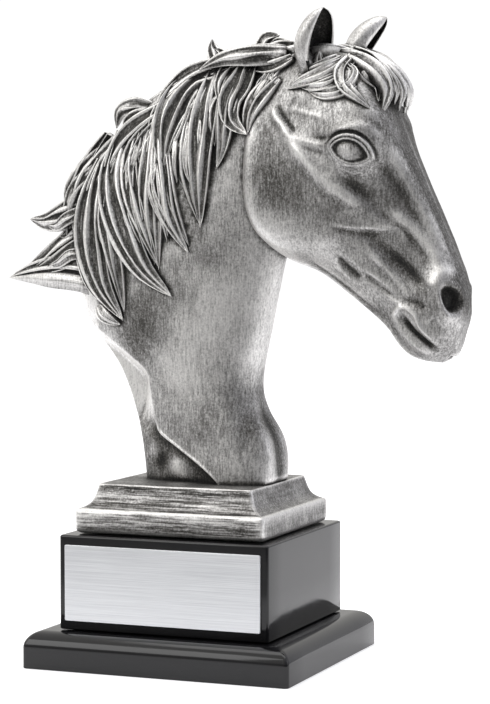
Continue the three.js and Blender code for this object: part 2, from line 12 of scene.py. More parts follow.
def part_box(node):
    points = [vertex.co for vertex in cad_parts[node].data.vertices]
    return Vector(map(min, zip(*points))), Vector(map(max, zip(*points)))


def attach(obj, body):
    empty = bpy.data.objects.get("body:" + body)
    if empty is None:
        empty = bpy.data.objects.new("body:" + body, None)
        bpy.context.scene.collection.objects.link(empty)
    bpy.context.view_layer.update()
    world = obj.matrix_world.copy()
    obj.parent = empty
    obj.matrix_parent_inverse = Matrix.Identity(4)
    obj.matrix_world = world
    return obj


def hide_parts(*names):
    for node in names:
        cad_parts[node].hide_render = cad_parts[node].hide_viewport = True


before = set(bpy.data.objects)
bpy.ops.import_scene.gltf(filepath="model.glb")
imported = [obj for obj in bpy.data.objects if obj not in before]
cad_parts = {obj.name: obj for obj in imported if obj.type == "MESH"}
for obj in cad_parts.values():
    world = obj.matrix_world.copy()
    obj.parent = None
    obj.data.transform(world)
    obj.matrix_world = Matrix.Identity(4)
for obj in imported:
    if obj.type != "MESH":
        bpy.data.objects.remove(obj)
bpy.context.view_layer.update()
mm = 0.001
print("frame loaded")


def nodeBox(node):
    low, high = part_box(node)
    return np.array(low) / mm, np.array(high) / mm


castingLow, castingHigh = nodeBox("horse_casting")
blockLow, blockHigh = nodeBox("base_block")
footLow, footHigh = nodeBox("base_foot")
plateLow, plateHigh = nodeBox("plate")


# Curves and grids

def smoothLine(knots):
    # a smooth value through (place, value) knots
    places, values = np.array(knots, float).T
    last = len(places) - 1
    before = np.maximum(np.arange(last + 1) - 1, 0)
    after = np.minimum(np.arange(last + 1) + 1, last)
    slopes = (values[after] - values[before]) / (places[after] - places[before])

    def at(place):
        place = np.clip(place, places[0], places[-1])
        i = np.clip(np.searchsorted(places, place, side="right") - 1, 0, last - 1)
        run = places[i + 1] - places[i]
        t = (place - places[i]) / run
        held = (2 * t**3 - 3 * t**2 + 1) * values[i] + (3 * t**2 - 2 * t**3) * values[i + 1]
        pulled = (t**3 - 2 * t**2 + t) * slopes[i] + (t**3 - t**2) * slopes[i + 1]
        return held + pulled * run

    return at


def smoothPath(points, count):
    # count places along a smooth curve through points, evenly spaced
    points = np.array(points, float)
    steps = np.linalg.norm(np.diff(points, axis=0), axis=1)
    reach = np.concatenate([[0], np.cumsum(np.maximum(steps, 1e-6))])
    fine = np.linspace(0, reach[-1], 12 * len(points))
    dense = np.stack([smoothLine(np.c_[reach, points[:, k]])(fine) for k in range(points.shape[1])], 1)
    length = np.concatenate([[0], np.cumsum(np.linalg.norm(np.diff(dense, axis=0), axis=1))])
    wanted = np.linspace(0, length[-1], count)
    return np.stack([np.interp(wanted, length, dense[:, k]) for k in range(points.shape[1])], 1)


def smoothStep(low, high, value):
    t = np.clip((value - low) / (high - low), 0, 1)
    return t * t * (3 - 2 * t)


def bell(value, spread):
    return np.exp(-((value / spread) ** 2))


def turned(a, b, degrees):
    turn = math.radians(degrees)
    return a * math.cos(turn) + b * math.sin(turn), -a * math.sin(turn) + b * math.cos(turn)


def unit(vectors):
    return vectors / np.maximum(np.linalg.norm(vectors, axis=-1, keepdims=True), 1e-9)


def ringFaces(rows, columns, closed=True):
    i, j = np.meshgrid(np.arange(rows - 1), np.arange(columns if closed else columns - 1), indexing="ij")
    k = (j + 1) % columns
    quads = np.stack([i * columns + j, i * columns + k, (i + 1) * columns + k, (i + 1) * columns + j], -1)
    return [tuple(q) for q in quads.reshape(-1, 4).tolist()]


def skinRings(rings):
    # a closed skin over rings [row, column, xyz], with a fan at each end
    rows, columns = rings.shape[:2]
    points = np.concatenate([rings.reshape(-1, 3), rings[:1].mean(1), rings[-1:].mean(1)])
    faces = ringFaces(rows, columns)
    start, end = rows * columns, rows * columns + 1
    last = (rows - 1) * columns
    for j in range(columns):
        k = (j + 1) % columns
        faces.append((start, k, j))
        faces.append((end, last + j, last + k))
    return points, faces


def pathDistance(path, x, y):
    # distance to a path, and the share of the way along it where it is nearest
    best = np.full(np.shape(x), 1e9)
    share = np.zeros(np.shape(x))
    steps = np.linalg.norm(np.diff(path, axis=0), axis=1)
    reach = np.concatenate([[0], np.cumsum(steps)]) / steps.sum()
    for k in range(len(path) - 1):
        ax, ay = path[k]
        dx, dy = path[k + 1] - path[k]
        t = np.clip(((x - ax) * dx + (y - ay) * dy) / (dx * dx + dy * dy), 0, 1)
        gap = np.hypot(x - ax - t * dx, y - ay - t * dy)
        nearer = gap < best
        best = np.where(nearer, gap, best)
        share = np.where(nearer, reach[k] + t * (reach[k + 1] - reach[k]), share)
    return best, share


# The casting is gathered from shells: points in millimetres, faces, and what each point is
shells = []


def facingOut(points, faces):
    # the faces turned so that the shell's volume comes out positive
    fans = np.array([(f[0], f[k], f[k + 1]) for f in faces for k in range(1, len(f) - 1)])
    a, b, c = (np.asarray(points)[fans[:, k]] for k in range(3))
    if (a * np.cross(b, c)).sum() < 0:
        return [face[::-1] for face in faces]
    return faces


def addShell(points, faces, arris=0.0, strand=0.0, patinaAndShading=0.0, rub=1.0, level=0.0):
    # what each point is: a rubbed ridge, its place across a lock, its patina and painted shade and light,
    # how much its curve counts, and whether it was brushed level or upright
    count = len(points)
    faces = facingOut(points, faces)
    marks = [np.broadcast_to(np.asarray(m, float), (count,)) for m in (arris, strand, patinaAndShading, rub, level)]
    shells.append((np.asarray(points, float), faces, marks))


def trianglesSoFar():
    return sum(len(face) - 2 for shell in shells for face in shell[1])


def cloudAt(clouds, first, second):
    # soft patches of painted shade and painted light, and of heavier or lighter patina: place, radius, amount
    total = np.zeros(np.shape(first))
    for a, b, radius, amount in clouds:
        total += amount * np.exp(-((first - a) ** 2 + (second - b) ** 2) / radius**2)
    return total


def refine(points, faces, passes):
    # splits the faces near fine forms; each pass takes a test on the points and halves its edges
    bm = bmesh.new()
    made = [bm.verts.new(p) for p in points]
    for face in faces:
        bm.faces.new([made[k] for k in face])
    for wanted in passes:
        bm.verts.ensure_lookup_table()
        places = np.array([v.co[:] for v in bm.verts])
        bm.verts.index_update()
        chosen = wanted(places)
        edges = [e for e in bm.edges if chosen[e.verts[0].index] and chosen[e.verts[1].index]]
        bmesh.ops.subdivide_edges(bm, edges=edges, cuts=1, use_grid_fill=True)
    bmesh.ops.recalc_face_normals(bm, faces=bm.faces[:])
    bm.normal_update()
    bm.verts.index_update()
    places = np.array([v.co[:] for v in bm.verts])
    normals = np.array([v.normal[:] for v in bm.verts])
    found = [tuple(v.index for v in f.verts) for f in bm.faces]
    bm.free()
    return places, normals, found


# Plinth: a slab with an undercut lower edge, a cove and a top, a little uneven as if worked by hand
plinth = {
    "slab": (68, 62), "slabHeight": 8.3, "corner": 1.2, "undercut": 1.2, "coveFoot": 1.4,
    "top": (55.5, 51), "height": 16.3, "coveSteps": 14, "unevenness": 0.16, "sideSteps": 26,
    "topInsets": (0.35, 0.8, 1.6, 3, 5, 7, 9, 11, 13, 15, 17, 19, 21, 23), "patinaAndShading": 0.16,
    # how rubbed each level is, from the slab's foot, and the same from the top's edge
    "rubbedLow": {1: 0.3, 2: 0.4, 3: 0.3, 6: 0.3, 7: 0.75, 8: 0.85, 9: 0.5},
    "rubbedTop": {-1: 0.3, 0: 0.85, 1: 0.8, 2: 0.2},
}
plinthBottom = castingLow[2]
plinthTop = plinthBottom + plinth["height"]


def roundedRing(length, depth, corner, height, sideSteps=1, cornerSteps=3):
    ring = []
    for quarter in range(4):
        sx = 1 if quarter in (0, 3) else -1
        sy = 1 if quarter < 2 else -1
        for k in range(cornerSteps + 1):
            turn = math.radians(90 * (quarter + k / cornerSteps))
            x = sx * (length / 2 - corner) + corner * math.cos(turn)
            y = sy * (depth / 2 - corner) + corner * math.sin(turn)
            ring.append((x, y, height))
    corners = np.array(ring)
    filled = []
    for k, place in enumerate(corners):
        filled.append(place)
        if k % (cornerSteps + 1) == cornerSteps:
            after = corners[(k + 1) % len(corners)]
            for step in range(1, sideSteps):
                filled.append(place + (after - place) * step / sideSteps)
    return np.array(filled)


def buildPlinth():
    length, depth = plinth["slab"]
    topLength, topDepth = plinth["top"]
    cut, corner, foot = plinth["undercut"], plinth["corner"], plinth["coveFoot"]
    slabHeight = plinth["slabHeight"]
    levels = []  # inset from the slab's sides, and height
    for inset, height in [(cut, 0), (cut * 0.8, cut * 0.15), (cut * 0.3, cut * 0.5), (0.1, cut * 1.1),
                          (0, cut * 1.4), (0, slabHeight * 0.5), (0, slabHeight - cut * 1.2),
                          (0.12, slabHeight - cut * 0.7), (cut * 0.4, slabHeight - cut * 0.25),
                          (foot * 0.8, slabHeight), (foot * 1.05, slabHeight + 0.1)]:
        levels.append((length - 2 * inset, depth - 2 * inset, height))
    for k in range(1, plinth["coveSteps"] + 1):
        down = 1 - k / plinth["coveSteps"]
        out = 0.45 * down + 0.55 * down**6
        wide = topLength + (length - 2 * foot - topLength) * out
        deep = topDepth + (depth - 2 * foot - topDepth) * out
        levels.append((wide, deep, plinth["height"] - (plinth["height"] - slabHeight) * down))
    for inset in plinth["topInsets"]:
        levels.append((topLength - 2 * inset, topDepth - 2 * inset, plinth["height"]))
    rings = [roundedRing(a, b, min(corner, a / 4, b / 4), plinthBottom + h, plinth["sideSteps"])
             for a, b, h in levels]
    points, faces = skinRings(np.array(rings))
    x, y, z = points.T
    sway = np.sin(0.21 * x + 0.5 * z) + np.sin(0.37 * y - 0.3 * z + 1) + np.sin(0.11 * (x - y) + 2.2)
    inner = smoothStep(plinthBottom, plinthBottom + 1, z) * plinth["unevenness"] * (sway - 3) / 3
    points = points + inner[:, None] * np.c_[np.sign(x) * 0.5, np.sign(y) * 0.5, np.full(len(x), 0.35)]
    # rubbed edges round the slab and the top, level strokes on the front and back
    edges = np.zeros(len(levels))
    topEdge = 10 + plinth["coveSteps"]
    for k, mark in plinth["rubbedLow"].items():
        edges[k] = mark
    for k, mark in plinth["rubbedTop"].items():
        edges[topEdge + k] = mark
    arris, across, dark = [], [], []
    for k, (wide, deep, height) in enumerate(levels):
        ring = rings[k]
        nearSide = smoothStep(wide / 2 - 1.4, wide / 2 - 0.2, np.abs(ring[:, 0]))
        nearFront = smoothStep(deep / 2 - 1.4, deep / 2 - 0.2, np.abs(ring[:, 1]))
        upright = 1.0 if k <= topEdge else 0.0
        arris.append(np.maximum(edges[k], 0.6 * nearSide * nearFront * upright))
        across.append(0.12 + 0.88 * nearFront * (1 - nearSide) * upright)
        # on the front and back: painted shade in a band under the top's edge, and uneven brushed bands below
        bands = 0.25 if topEdge - 4 <= k < topEdge else 0.12 * math.sin(2.1 * k)
        dark.append(bands * nearFront * (1 - nearSide) * upright)
    ends = [0, 0]
    addShell(points, faces, arris=np.concatenate([*arris, ends]),
             patinaAndShading=plinth["patinaAndShading"] + np.concatenate([*dark, ends]),
             rub=0.3, level=np.concatenate([*across, ends]))


buildPlinth()
print("plinth made,", trianglesSoFar(), "triangles so far")


# Neck: throat and crest lines from plinth to poll, half width and roundness of its section
neck = {
    "height": 145, "steps": 106, "sides": 96,
    "throatX": [(0, 28.8), (0.1, 27.4), (0.2, 22.4), (0.3, 20.8), (0.45, 24.8), (0.6, 29.5), (0.8, 36),
                (1, 52)],
    "throatZ": [(0, -0.02), (0.1, 0.09), (0.2, 0.165), (0.3, 0.235), (0.45, 0.372), (0.6, 0.524),
                (0.8, 0.697), (1, 0.834)],
    "crestX": [(0, -19.6), (0.1, -21.4), (0.2, -24), (0.3, -30), (0.45, -45), (0.6, -42), (0.8, -16),
               (1, 36)],
    "crestZ": [(0, -0.02), (0.1, 0.083), (0.2, 0.159), (0.3, 0.262), (0.45, 0.428), (0.6, 0.676),
               (0.8, 0.883), (1, 1)],
    "half": [(0, 15.4), (0.12, 14.8), (0.3, 13.8), (0.45, 14.6), (0.65, 14.6), (0.85, 12.5), (1, 9)],
    "crestThin": [(0, 0.5), (0.2, 0.45), (0.7, 0.45), (1, 0.2)],
    "roundness": [(0, 0.46), (0.12, 0.5), (0.3, 0.64), (0.45, 0.72), (1, 0.72)],
    # the flank's rear edge, forward of the middle and above the plinth
    "flankEdge": [(13, -4), (10.7, 0.4), (6.4, 4.3), (1.1, 8.1), (-6.4, 12.8), (-12.2, 16.6), (-13.5, 19.6),
                  (-14.5, 25), (-15.4, 31.4), (-16.2, 36), (-18.4, 39), (-23.3, 42.7), (-29.9, 47.1),
                  (-37, 51.5)],
    # behind it: how far the surface steps in and how steeply it turns away, by height above the plinth
    "flankStep": [(-4, 4.2), (6, 4.1), (12, 3.6), (19, 2.4), (28, 1.1), (36, 0.5), (52, 0)],
    "flankTurn": [(-4, 0.12), (12, 0.2), (20, 0.55), (28, 1.15), (36, 1.7), (44, 1.9), (56, 1.2)],
    "flankRim": 0.35,
    # the recess under the edge: swellings and pits, forward and up, radius, height, and painted shade with
    # patina (painted light where below zero)
    "recess": [(-6, 4.6, 4.0, 0.8, -0.45), (-3, 2.4, 3.0, 0.3, -0.25), (-12, 6.7, 3.2, -0.7, 0.4),
               (-16.2, 10, 2.4, 0.4, -0.35)],
    "insideHead": 3.5, "cloudShare": 0.65,
    # patches of painted shade and painted light, darker under the mane and lighter down the middle of the
    # neck, and uneven patina: forward, up, radius, amount
    "clouds": [(-17, 120, 9, 0.2), (2.5, 138, 9, 0.1), (8.3, 173, 8, 0.06), (-20.5, 107, 8, 0.16),
               (21.3, 91, 6, 0.12), (22.4, 81, 5, 0.14), (6.5, 79, 7, 0.08), (13, 162, 8, -0.07),
               (21.8, 134, 9, -0.1), (29.4, 120, 8, -0.12),
               (-5.3, 103.6, 8, -0.12), (-3.2, 96, 6, -0.1), (23.4, 103, 7, -0.14), (14.4, 65.6, 6, -0.1),
               (-33, 109, 4, -0.12), (-27, 102, 4, -0.12), (16, 122, 12, -0.16), (4, 112, 11, -0.14),
               (-2, 96, 9, -0.08)],
}


def neckRings():
    way = np.linspace(0, 1, neck["steps"] + 1) ** 1.25  # closer together near the plinth
    turn = np.linspace(0, 2 * math.pi, neck["sides"], endpoint=False)
    line = {name: smoothLine(neck[name])(way)[:, None] for name in
            ("throatX", "throatZ", "crestX", "crestZ", "half", "crestThin", "roundness")}
    share = ((1 - np.cos(turn)) / 2)[None, :]
    bulge = np.abs(np.sin(turn))[None, :] ** line["roundness"] * np.sign(np.sin(turn))[None, :]
    width = line["half"] * (1 - line["crestThin"] * share**2)
    x = line["throatX"] + (line["crestX"] - line["throatX"]) * share
    z = plinthTop + neck["height"] * (line["throatZ"] + (line["crestZ"] - line["throatZ"]) * share)
    return np.stack([x, width * bulge, z], -1)


def nearFlankEdge(reach):
    def wanted(points):
        gap, _ = pathDistance(smoothPath(neck["flankEdge"], 60), points[:, 0], points[:, 2] - plinthTop)
        return gap < reach
    return wanted


def flankCarving(points):
    # the side of the neck ends at the flank's edge; behind it the surface steps in and turns away
    x, reach, up = points[:, 0], np.abs(points[:, 1]), points[:, 2] - plinthTop
    edge = smoothPath(neck["flankEdge"], 90)
    gap, _ = pathDistance(edge, x, up)
    behind = np.where(x < np.interp(up, edge[:, 1], edge[:, 0]), gap, -gap)
    levels = np.arange(-3, 54, 2.0)
    widths = [reach[(gap < 1.6) & (np.abs(up - level) < 1.6)].max(initial=0) for level in levels]
    widths = np.where(np.array(widths) > 5, widths, 14)
    atEdge = np.interp(up, levels, np.convolve(np.pad(widths, 1, "edge"), [0.25, 0.5, 0.25], "valid"))
    step, turn = smoothLine(neck["flankStep"])(up), smoothLine(neck["flankTurn"])(up)
    low = atEdge - step * smoothStep(0, 0.7, behind) - turn * np.clip(behind, 0, None)
    shade = np.zeros(len(x))
    for a, b, radius, height, shadeAndPatina in neck["recess"]:
        form = np.exp(-((x - a) ** 2 + (up - b) ** 2) / radius**2) * smoothStep(0.3, 1.5, behind)
        low = low + height * form
        shade += shadeAndPatina * form
    low = np.maximum(low, 2.5)
    sunk = np.where(low < reach, smoothStep(58, 48, up) * (behind > 0), 0)
    reach = reach + (low - reach) * sunk
    rim = bell(behind + 0.3, 0.45) * smoothStep(24, 15, up)
    return reach + neck["flankRim"] * rim * smoothStep(4, 9, reach), behind, rim, shade


def carveNeck(points):
    x, y, z = points.T
    up = z - plinthTop
    reach, behind, rim, shade = flankCarving(points)
    # breast: a low ridge down each side of the front and a shallow groove between them
    front = smoothStep(14, 24, x) * smoothStep(34, 20, up)
    groove = bell(y, 3.6) * front
    swell = bell(reach - 8.5, 2.8) * front * smoothStep(-2, 8, up)
    x = x - 0.8 * groove + 0.8 * swell
    x = x - np.clip(x - 26.6, 0, None) * smoothStep(1.6, -0.6, up)
    # a crease that runs down from the throat to the breast
    crease, _ = pathDistance(smoothPath([(7, 23), (12, 16), (17, 9), (20, 4)], 30), x, up)
    reach = reach + 0.16 * bell(crease, 0.8) * smoothStep(3, 8, reach)
    hollow, _ = pathDistance(smoothPath([(22, 38), (20, 26), (21, 14)], 30), x, up)
    reach = reach - 0.7 * bell(hollow, 4) * smoothStep(3, 8, reach)
    # the neck's end stays inside the head
    along, above = headCoordinates(points)
    reach = reach - neck["insideHead"] * smoothStep(7, 14, along) * smoothStep(-22, -12, above)
    # painted shade in the recess under the flank's edge, and painted light on the rear face above it, which
    # turns towards the light
    recess = smoothStep(0, 1.2, behind) * smoothStep(24, 14, up)
    bevel = smoothStep(0, 1.4, behind) * smoothStep(18, 30, up)
    patinaAndShading = 0.25 * recess + shade + 0.4 * bell(behind - 1.6, 1.4) * recess
    # a rubbed rim along the edge, the painted light on the rear face, and a darker line along the neck's foot
    # at the plinth
    patinaAndShading += -0.3 * rim - 0.9 * bevel + 0.5 * bell(up, 0.9)
    # painted shade along the step just behind the flank's edge
    patinaAndShading += 0.5 * bell(behind - 0.7, 0.45) * smoothStep(37, 31, up) * smoothStep(14, 20, up)
    patinaAndShading += 0.5 * bell(np.abs(y) - 2.4, 0.9) * front * smoothStep(20, 12, up)
    patinaAndShading += cloudAt(neck["clouds"], x, z) / neck["cloudShare"]
    return np.stack([x, np.sign(y) * np.maximum(reach, 0.2 * np.abs(y)), z], -1), patinaAndShading


def buildNeck():
    points, faces = skinRings(neckRings())
    points, _, faces = refine(points, faces, [nearFlankEdge(3.2), nearFlankEdge(1.5)])
    points, patinaAndShading = carveNeck(points)
    addShell(points, faces, patinaAndShading=patinaAndShading, rub=0.5)
    return points, faces


# Head: outline above and below its axis and half widths, at places from poll to lips
head = {
    "pollX": 38, "pollRise": 142.3, "slope": 63.2, "start": -5, "length": 111,
    "stations": 108, "halfRing": 48,
    "face": [(-5, 2), (0, 8), (8, 14.5), (16, 18.2), (28, 20.2), (42, 19.2), (67, 17.8), (88, 16.4),
             (97, 13.8), (107, 6.6), (111, 2.6)],
    "jaw": [(-5, -8), (2, -20), (14, -28), (32, -38), (43, -40.3), (51, -38.4), (58, -34.6), (66, -27.6),
            (78, -21.4), (92, -15), (99, -13.6), (104, -11.6), (108, -7.8), (111, -3)],
    "widths": {
        0.965: [(-5, 2), (8, 7.5), (16, 10.5), (30, 13.4), (38, 12.6), (48, 9), (67, 6.8), (88, 6.6),
                (100, 5.4), (108, 3.4), (111, 1.4)],
        0.8: [(-5, 3.5), (8, 12), (20, 16.2), (32, 18.8), (40, 18.2), (50, 13.4), (67, 10), (80, 9.6),
              (92, 11.2), (100, 10), (108, 6), (111, 2.2)],
        0.57: [(-5, 4), (8, 13), (24, 16.6), (40, 16.8), (52, 15.4), (67, 11.8), (80, 9.9), (92, 10.8),
               (102, 9.8), (108, 7), (111, 2.6)],
        0.3: [(-5, 3.5), (8, 12.6), (24, 15.8), (44, 16.2), (56, 14.8), (67, 12), (80, 10), (94, 9.2),
              (103, 8.2), (108, 6.2), (111, 2.4)],
        0.05: [(-5, 2), (8, 11), (20, 14), (32, 14.6), (44, 13.8), (52, 11.8), (60, 8.8), (67, 6.6),
               (80, 5.2), (98, 5.4), (106, 4.8), (111, 1.6)],
    },
    # where the skin is finer: eye and muzzle reach of the first and the second pass
    "fine": (10.5, 8), "finest": (8.4, 6), "cloudShare": 0.55,
    "lipLine": [(88, -7), (97, -5.2), (105.5, -2.2), (111, 0.6)],
}
slope = math.radians(-head["slope"])
headAxis = np.array([math.cos(slope), math.sin(slope)])
headUp = np.array([-math.sin(slope), math.cos(slope)])
headRoot = np.array([head["pollX"], plinthTop + head["pollRise"]])


def headPlace(along, above, side):
    x = headRoot[0] + along * headAxis[0] + above * headUp[0]
    z = headRoot[1] + along * headAxis[1] + above * headUp[1]
    return np.stack([x, np.broadcast_to(side, np.shape(x)), z], -1)


def headCoordinates(points):
    x = points[:, 0] - headRoot[0]
    z = points[:, 2] - headRoot[1]
    return x * headAxis[0] + z * headAxis[1], x * headUp[0] + z * headUp[1]


neckPoints, neckFaces = buildNeck()
print("neck made,", trianglesSoFar(), "triangles so far")


# Forms of the face: path in [along, above], spread, height and how much patina and painted shade lies in it
# (painted light where below zero)
faceForms = {
    "facialCrest": ([(22, -14), (30, -11.5), (36.4, -10), (43.2, -7.4), (49.6, -3.7), (56, -0.4)],
                    2.4, 1.15, -0.18),
    "crestRidge": ([(25, -12.4), (33, -10.8), (40, -8.6)], 1.0, 0.25, -0.15),
    "underCrest": ([(40, -1.5), (48, 0.6), (56, 3.4), (64, 7)], 3.0, -0.7, 0.1),
    "browArc": ([(28.4, 0), (30, 6.3), (32.4, 11.4), (36, 14), (40, 13.6)], 1.7, 1.0, -0.1),
    "browCrease": ([(26.6, -5.5), (30, -1), (30.8, 4.6), (33.4, 9.6), (37.6, 11.6)], 0.8, -0.4, 0.22),
    "templeHollow": ([(14, -9), (20, -2.5)], 4.6, -0.7, -0.05),
    "templeFold": ([(14.6, -8.6), (19.7, -3), (23.6, 1)], 0.9, 0.35, -0.15),
    "templeEdge": ([(11.3, -14), (15.2, -14.2), (19.4, -13), (24, -12.6)], 1.3, 0.8, -0.25),
    "templeDark": ([(11.3, -11.8), (15.3, -11.8), (19.5, -11), (23.4, -9.8)], 0.9, -0.45, 0.35),
    "zygoma": ([(23, -11.6), (28, -7.6), (32, -3.4)], 1.5, 0.7, -0.1),
    "underZygoma": ([(27.6, -9.9), (31.4, -6.4), (35, -3.6), (40.6, -1.9)], 1.2, -0.25, 0.05),
    # painted shade down the front of the nose and the forehead, where they face forward
    "noseFrontShade": ([(36, 19.6), (50, 18.8), (67, 18), (85, 16.8)], 2.2, 0, 0.5),
    "foreheadFrontShade": ([(26, 20), (36, 19.6)], 3, 0, 0.25),
    "lidPouch": ([(38, -1.8), (43.2, 0.6), (46, 5.6)], 0.8, 0.3, -0.08),
    "foreheadRidge": ([(22, 10), (30, 16), (37, 19)], 2.4, 0.5, 0),
    "nasalRidge": ([(40, 15.2), (52, 15.8), (67, 15.8), (82, 15.2)], 2.0, 0.8, -0.12),
    "nasalGroove": ([(44, 10.6), (56, 12), (68, 12.8)], 2.2, -0.4, 0.05),
    "levator": ([(57, 4.6), (66.9, 9.4), (74, 11.6), (80.1, 12.6), (86, 11.6)], 1.7, 0.7, -0.1),
    "levatorGroove": ([(58, 1.8), (66, 6.4), (74, 8.8), (82, 9.4)], 1.5, -0.35, 0.08),
    "cheekVein": ([(54.4, -13.5), (58, -9), (61.2, -3.6), (64, 1.6), (66.6, 5.6), (69.4, 6.4), (71.6, 4.4)],
                  0.75, 0.4, -0.12),
    "veinShade": ([(57, -12.6), (62.4, -5.6), (65.6, 0.6)], 1.2, -0.45, 0.2),
    "pitValley": ([(61.6, -6.6), (65.4, -3.2), (71.5, -0.4), (78.6, 2.2), (86.5, 4.6)], 2.2, -1.05, 0.3),
    "pitDeep": ([(72, 0), (78.6, 2.6), (85.6, 4.6)], 1.2, -0.5, 0.25),
    "lowRidge": ([(67, -6.4), (72, -4.8), (78, -3), (84, -1.4), (89.4, -0.4)], 1.1, 0.6, -0.2),
    "slot": ([(65.4, -16.8), (70.3, -15.4), (75.2, -13.2)], 1.05, -0.9, 0.45),
    "slotFront": ([(74.4, -11), (80, -8.6), (85.2, -5.9)], 0.9, -0.5, 0.25),
    "slotRidge": ([(66, -13.4), (72, -11.2), (79, -6.6), (85, -3.6)], 1.0, 0.35, -0.1),
    "slotUnder": ([(66, -19), (72, -17.4), (77, -14.8)], 0.9, 0.3, -0.15),
    "cornerFold": ([(82, -8.4), (86.6, -6.4), (90, -3.4)], 0.8, 0.4, -0.15),
    "cornerDark": ([(87.6, -2.4), (90.8, 0.8), (93.6, 2.6)], 1.2, -0.5, 0.2),
    "lipLoop": ([(93.4, -9), (90.8, -8.6), (89.4, -6.2), (90.6, -3.4), (94, -1.8), (98, -2), (103, -0.6)],
                0.9, 0.9, -0.55),
    "mouthSlit": ([(92.2, -6.4), (95.4, -5.8), (99, -4.8), (103, -3), (107, -1.2)], 0.85, -1.7, 0.75),
    "lowerLip": ([(92.6, -9), (97.1, -8.4), (102.8, -6.6), (107.4, -4)], 1.1, 0.6, -0.2),
    "chinCrease": ([(93.6, -11.4), (99, -11), (104, -9.2)], 0.9, -0.3, 0.15),
    "jawGroove": ([(60, -28.4), (68, -23.6), (76, -19.6), (84, -15.8), (90.4, -12)], 0.9, -0.4, 0.2),
    "jawRidge": ([(62, -25.4), (70, -20.8), (78, -16.8), (86, -12.8)], 1.0, 0.3, -0.1),
    "cheekRim": ([(5.7, -12.5), (11.2, -20.7), (16.2, -26), (24.1, -33), (32.5, -36), (42.7, -37.4),
                  (50.8, -35.4), (58.5, -30.6)], 2.0, 0.3, -0.05),
    "cheekFront": ([(60, -20), (57, -12)], 3.0, 0.4, -0.05),
    "nostrilBack": ([(86.4, 15.6), (86, 11), (88.6, 7)], 2.2, 0.9, -0.1),
    "nostrilFold": ([(98, 6.4), (102, 8.4), (104, 10)], 2.0, 0.5, 0),
    "muzzleHollow": ([(97, 2.4), (103, 4)], 2.6, -0.5, 0.05),
}
# patches of painted shade and painted light, darker over the cheek and lighter along the jaw's lower edge,
# and uneven patina: along, above, radius, amount
faceClouds = [
    (28.6, -27, 10, 0.15), (39, -21.9, 9, 0.15), (49.5, -1.2, 6, 0.13), (53.7, 10, 5, 0.12),
    (60, 18, 8, 0.12), (89, 4.5, 5, 0.1), (74.3, 1.8, 5, 0.12), (16, -5, 6, 0.1), (51.5, -12.5, 5, 0.08),
    (33, 19, 6, 0.1), (45.6, -36, 7, -0.2), (53, -29, 7, -0.16), (62.3, -22, 6, -0.12), (70, 17, 4, -0.1),
    (83.4, 15.3, 5, -0.14), (104.6, -3.3, 5, -0.12), (105, 10, 5, -0.1), (42.7, -3, 4, -0.06),
    (28.5, -11.4, 3.5, -0.16), (73, 10.6, 4, -0.08),
]


def faceDetail(along, above):
    swell = np.zeros(np.shape(along))
    patinaAndShading = np.zeros(np.shape(along))
    for path, spread, height, shadeAndPatina in faceForms.values():
        run = smoothPath(path, 6 * len(path))
        gap, share = pathDistance(run, along, above)
        fade = smoothStep(-0.1, 0.22, share) * smoothStep(1.1, 0.78, share)
        form = fade * bell(gap, spread)
        swell += height * form
        patinaAndShading += shadeAndPatina * form
    return swell, patinaAndShading + cloudAt(faceClouds, along, above) / head["cloudShare"]


# Eye: a ball between two lids that meet in pointed corners. Nostril: a comma-shaped opening
eye = {
    "along": 37.8, "above": 4.5, "tilt": 47, "halfLength": 5.9, "upper": 3.9, "lower": 3.1,
    "ballLength": 4.6, "ballHeight": 3.5, "ball": 1.5, "socket": 1.3,
}
nostril = {
    "along": 94.5, "above": 11.2, "halfLength": 4.7, "halfWidth": 2.7, "turn": -8, "depth": 3.4, "rim": 0.5,
}


def eyeDetail(along, above):
    p, q = turned(along - eye["along"], above - eye["above"], eye["tilt"])
    half = eye["halfLength"]

    def arc(height, sign):
        radius = (half**2 + height**2) / (2 * height)
        return np.hypot(p, q + sign * (radius - height)) - radius

    def band(place, spread):
        return bell(out - place, spread)

    out = np.maximum(arc(eye["upper"], 1), arc(eye["lower"], -1))  # under zero between the lids
    upper = smoothStep(-1.8, 1.8, q)
    front = smoothStep(-3, 4, p)
    rho = np.clip(np.hypot(p / eye["ballLength"], q / eye["ballHeight"]), 0, 1)
    swell = eye["socket"] * smoothStep(5.5, -1, out)
    swell += smoothStep(0, -0.6, out) * (eye["ball"] * np.sqrt(1 - 0.96 * rho**2) - 0.75)
    swell += 0.65 * band(0.15, 0.42)  # edge of the lids
    swell -= 0.3 * band(0.72, 0.25) * (0.3 + 0.7 * upper)
    swell += (0.15 + 0.7 * upper) * band(1.4, 0.7)  # the lids' roll
    swell -= (0.1 + 0.4 * upper) * band(2.4, 0.5)
    swell += 0.3 * upper * band(3.3, 0.8)
    patinaAndShading = (0.2 + 0.3 * front) * band(-0.5, 0.42) + 0.12 * upper * band(0.72, 0.3)
    patinaAndShading += 0.18 * upper * band(2.35, 0.45)
    patinaAndShading += 0.5 * smoothStep(-0.1, -0.6, out) * smoothStep(0.55, 0.95, rho)
    # a painted highlight in the middle of the ball
    patinaAndShading -= 0.35 * smoothStep(0.6, 0.1, rho)
    patinaAndShading -= 0.15 * band(0.15, 0.35) + 0.3 * upper * band(1.5, 0.6) + 0.2 * (1 - upper) * band(1.0, 0.5)
    patinaAndShading += 0.3 * upper * band(2.5, 0.5)
    return swell, patinaAndShading


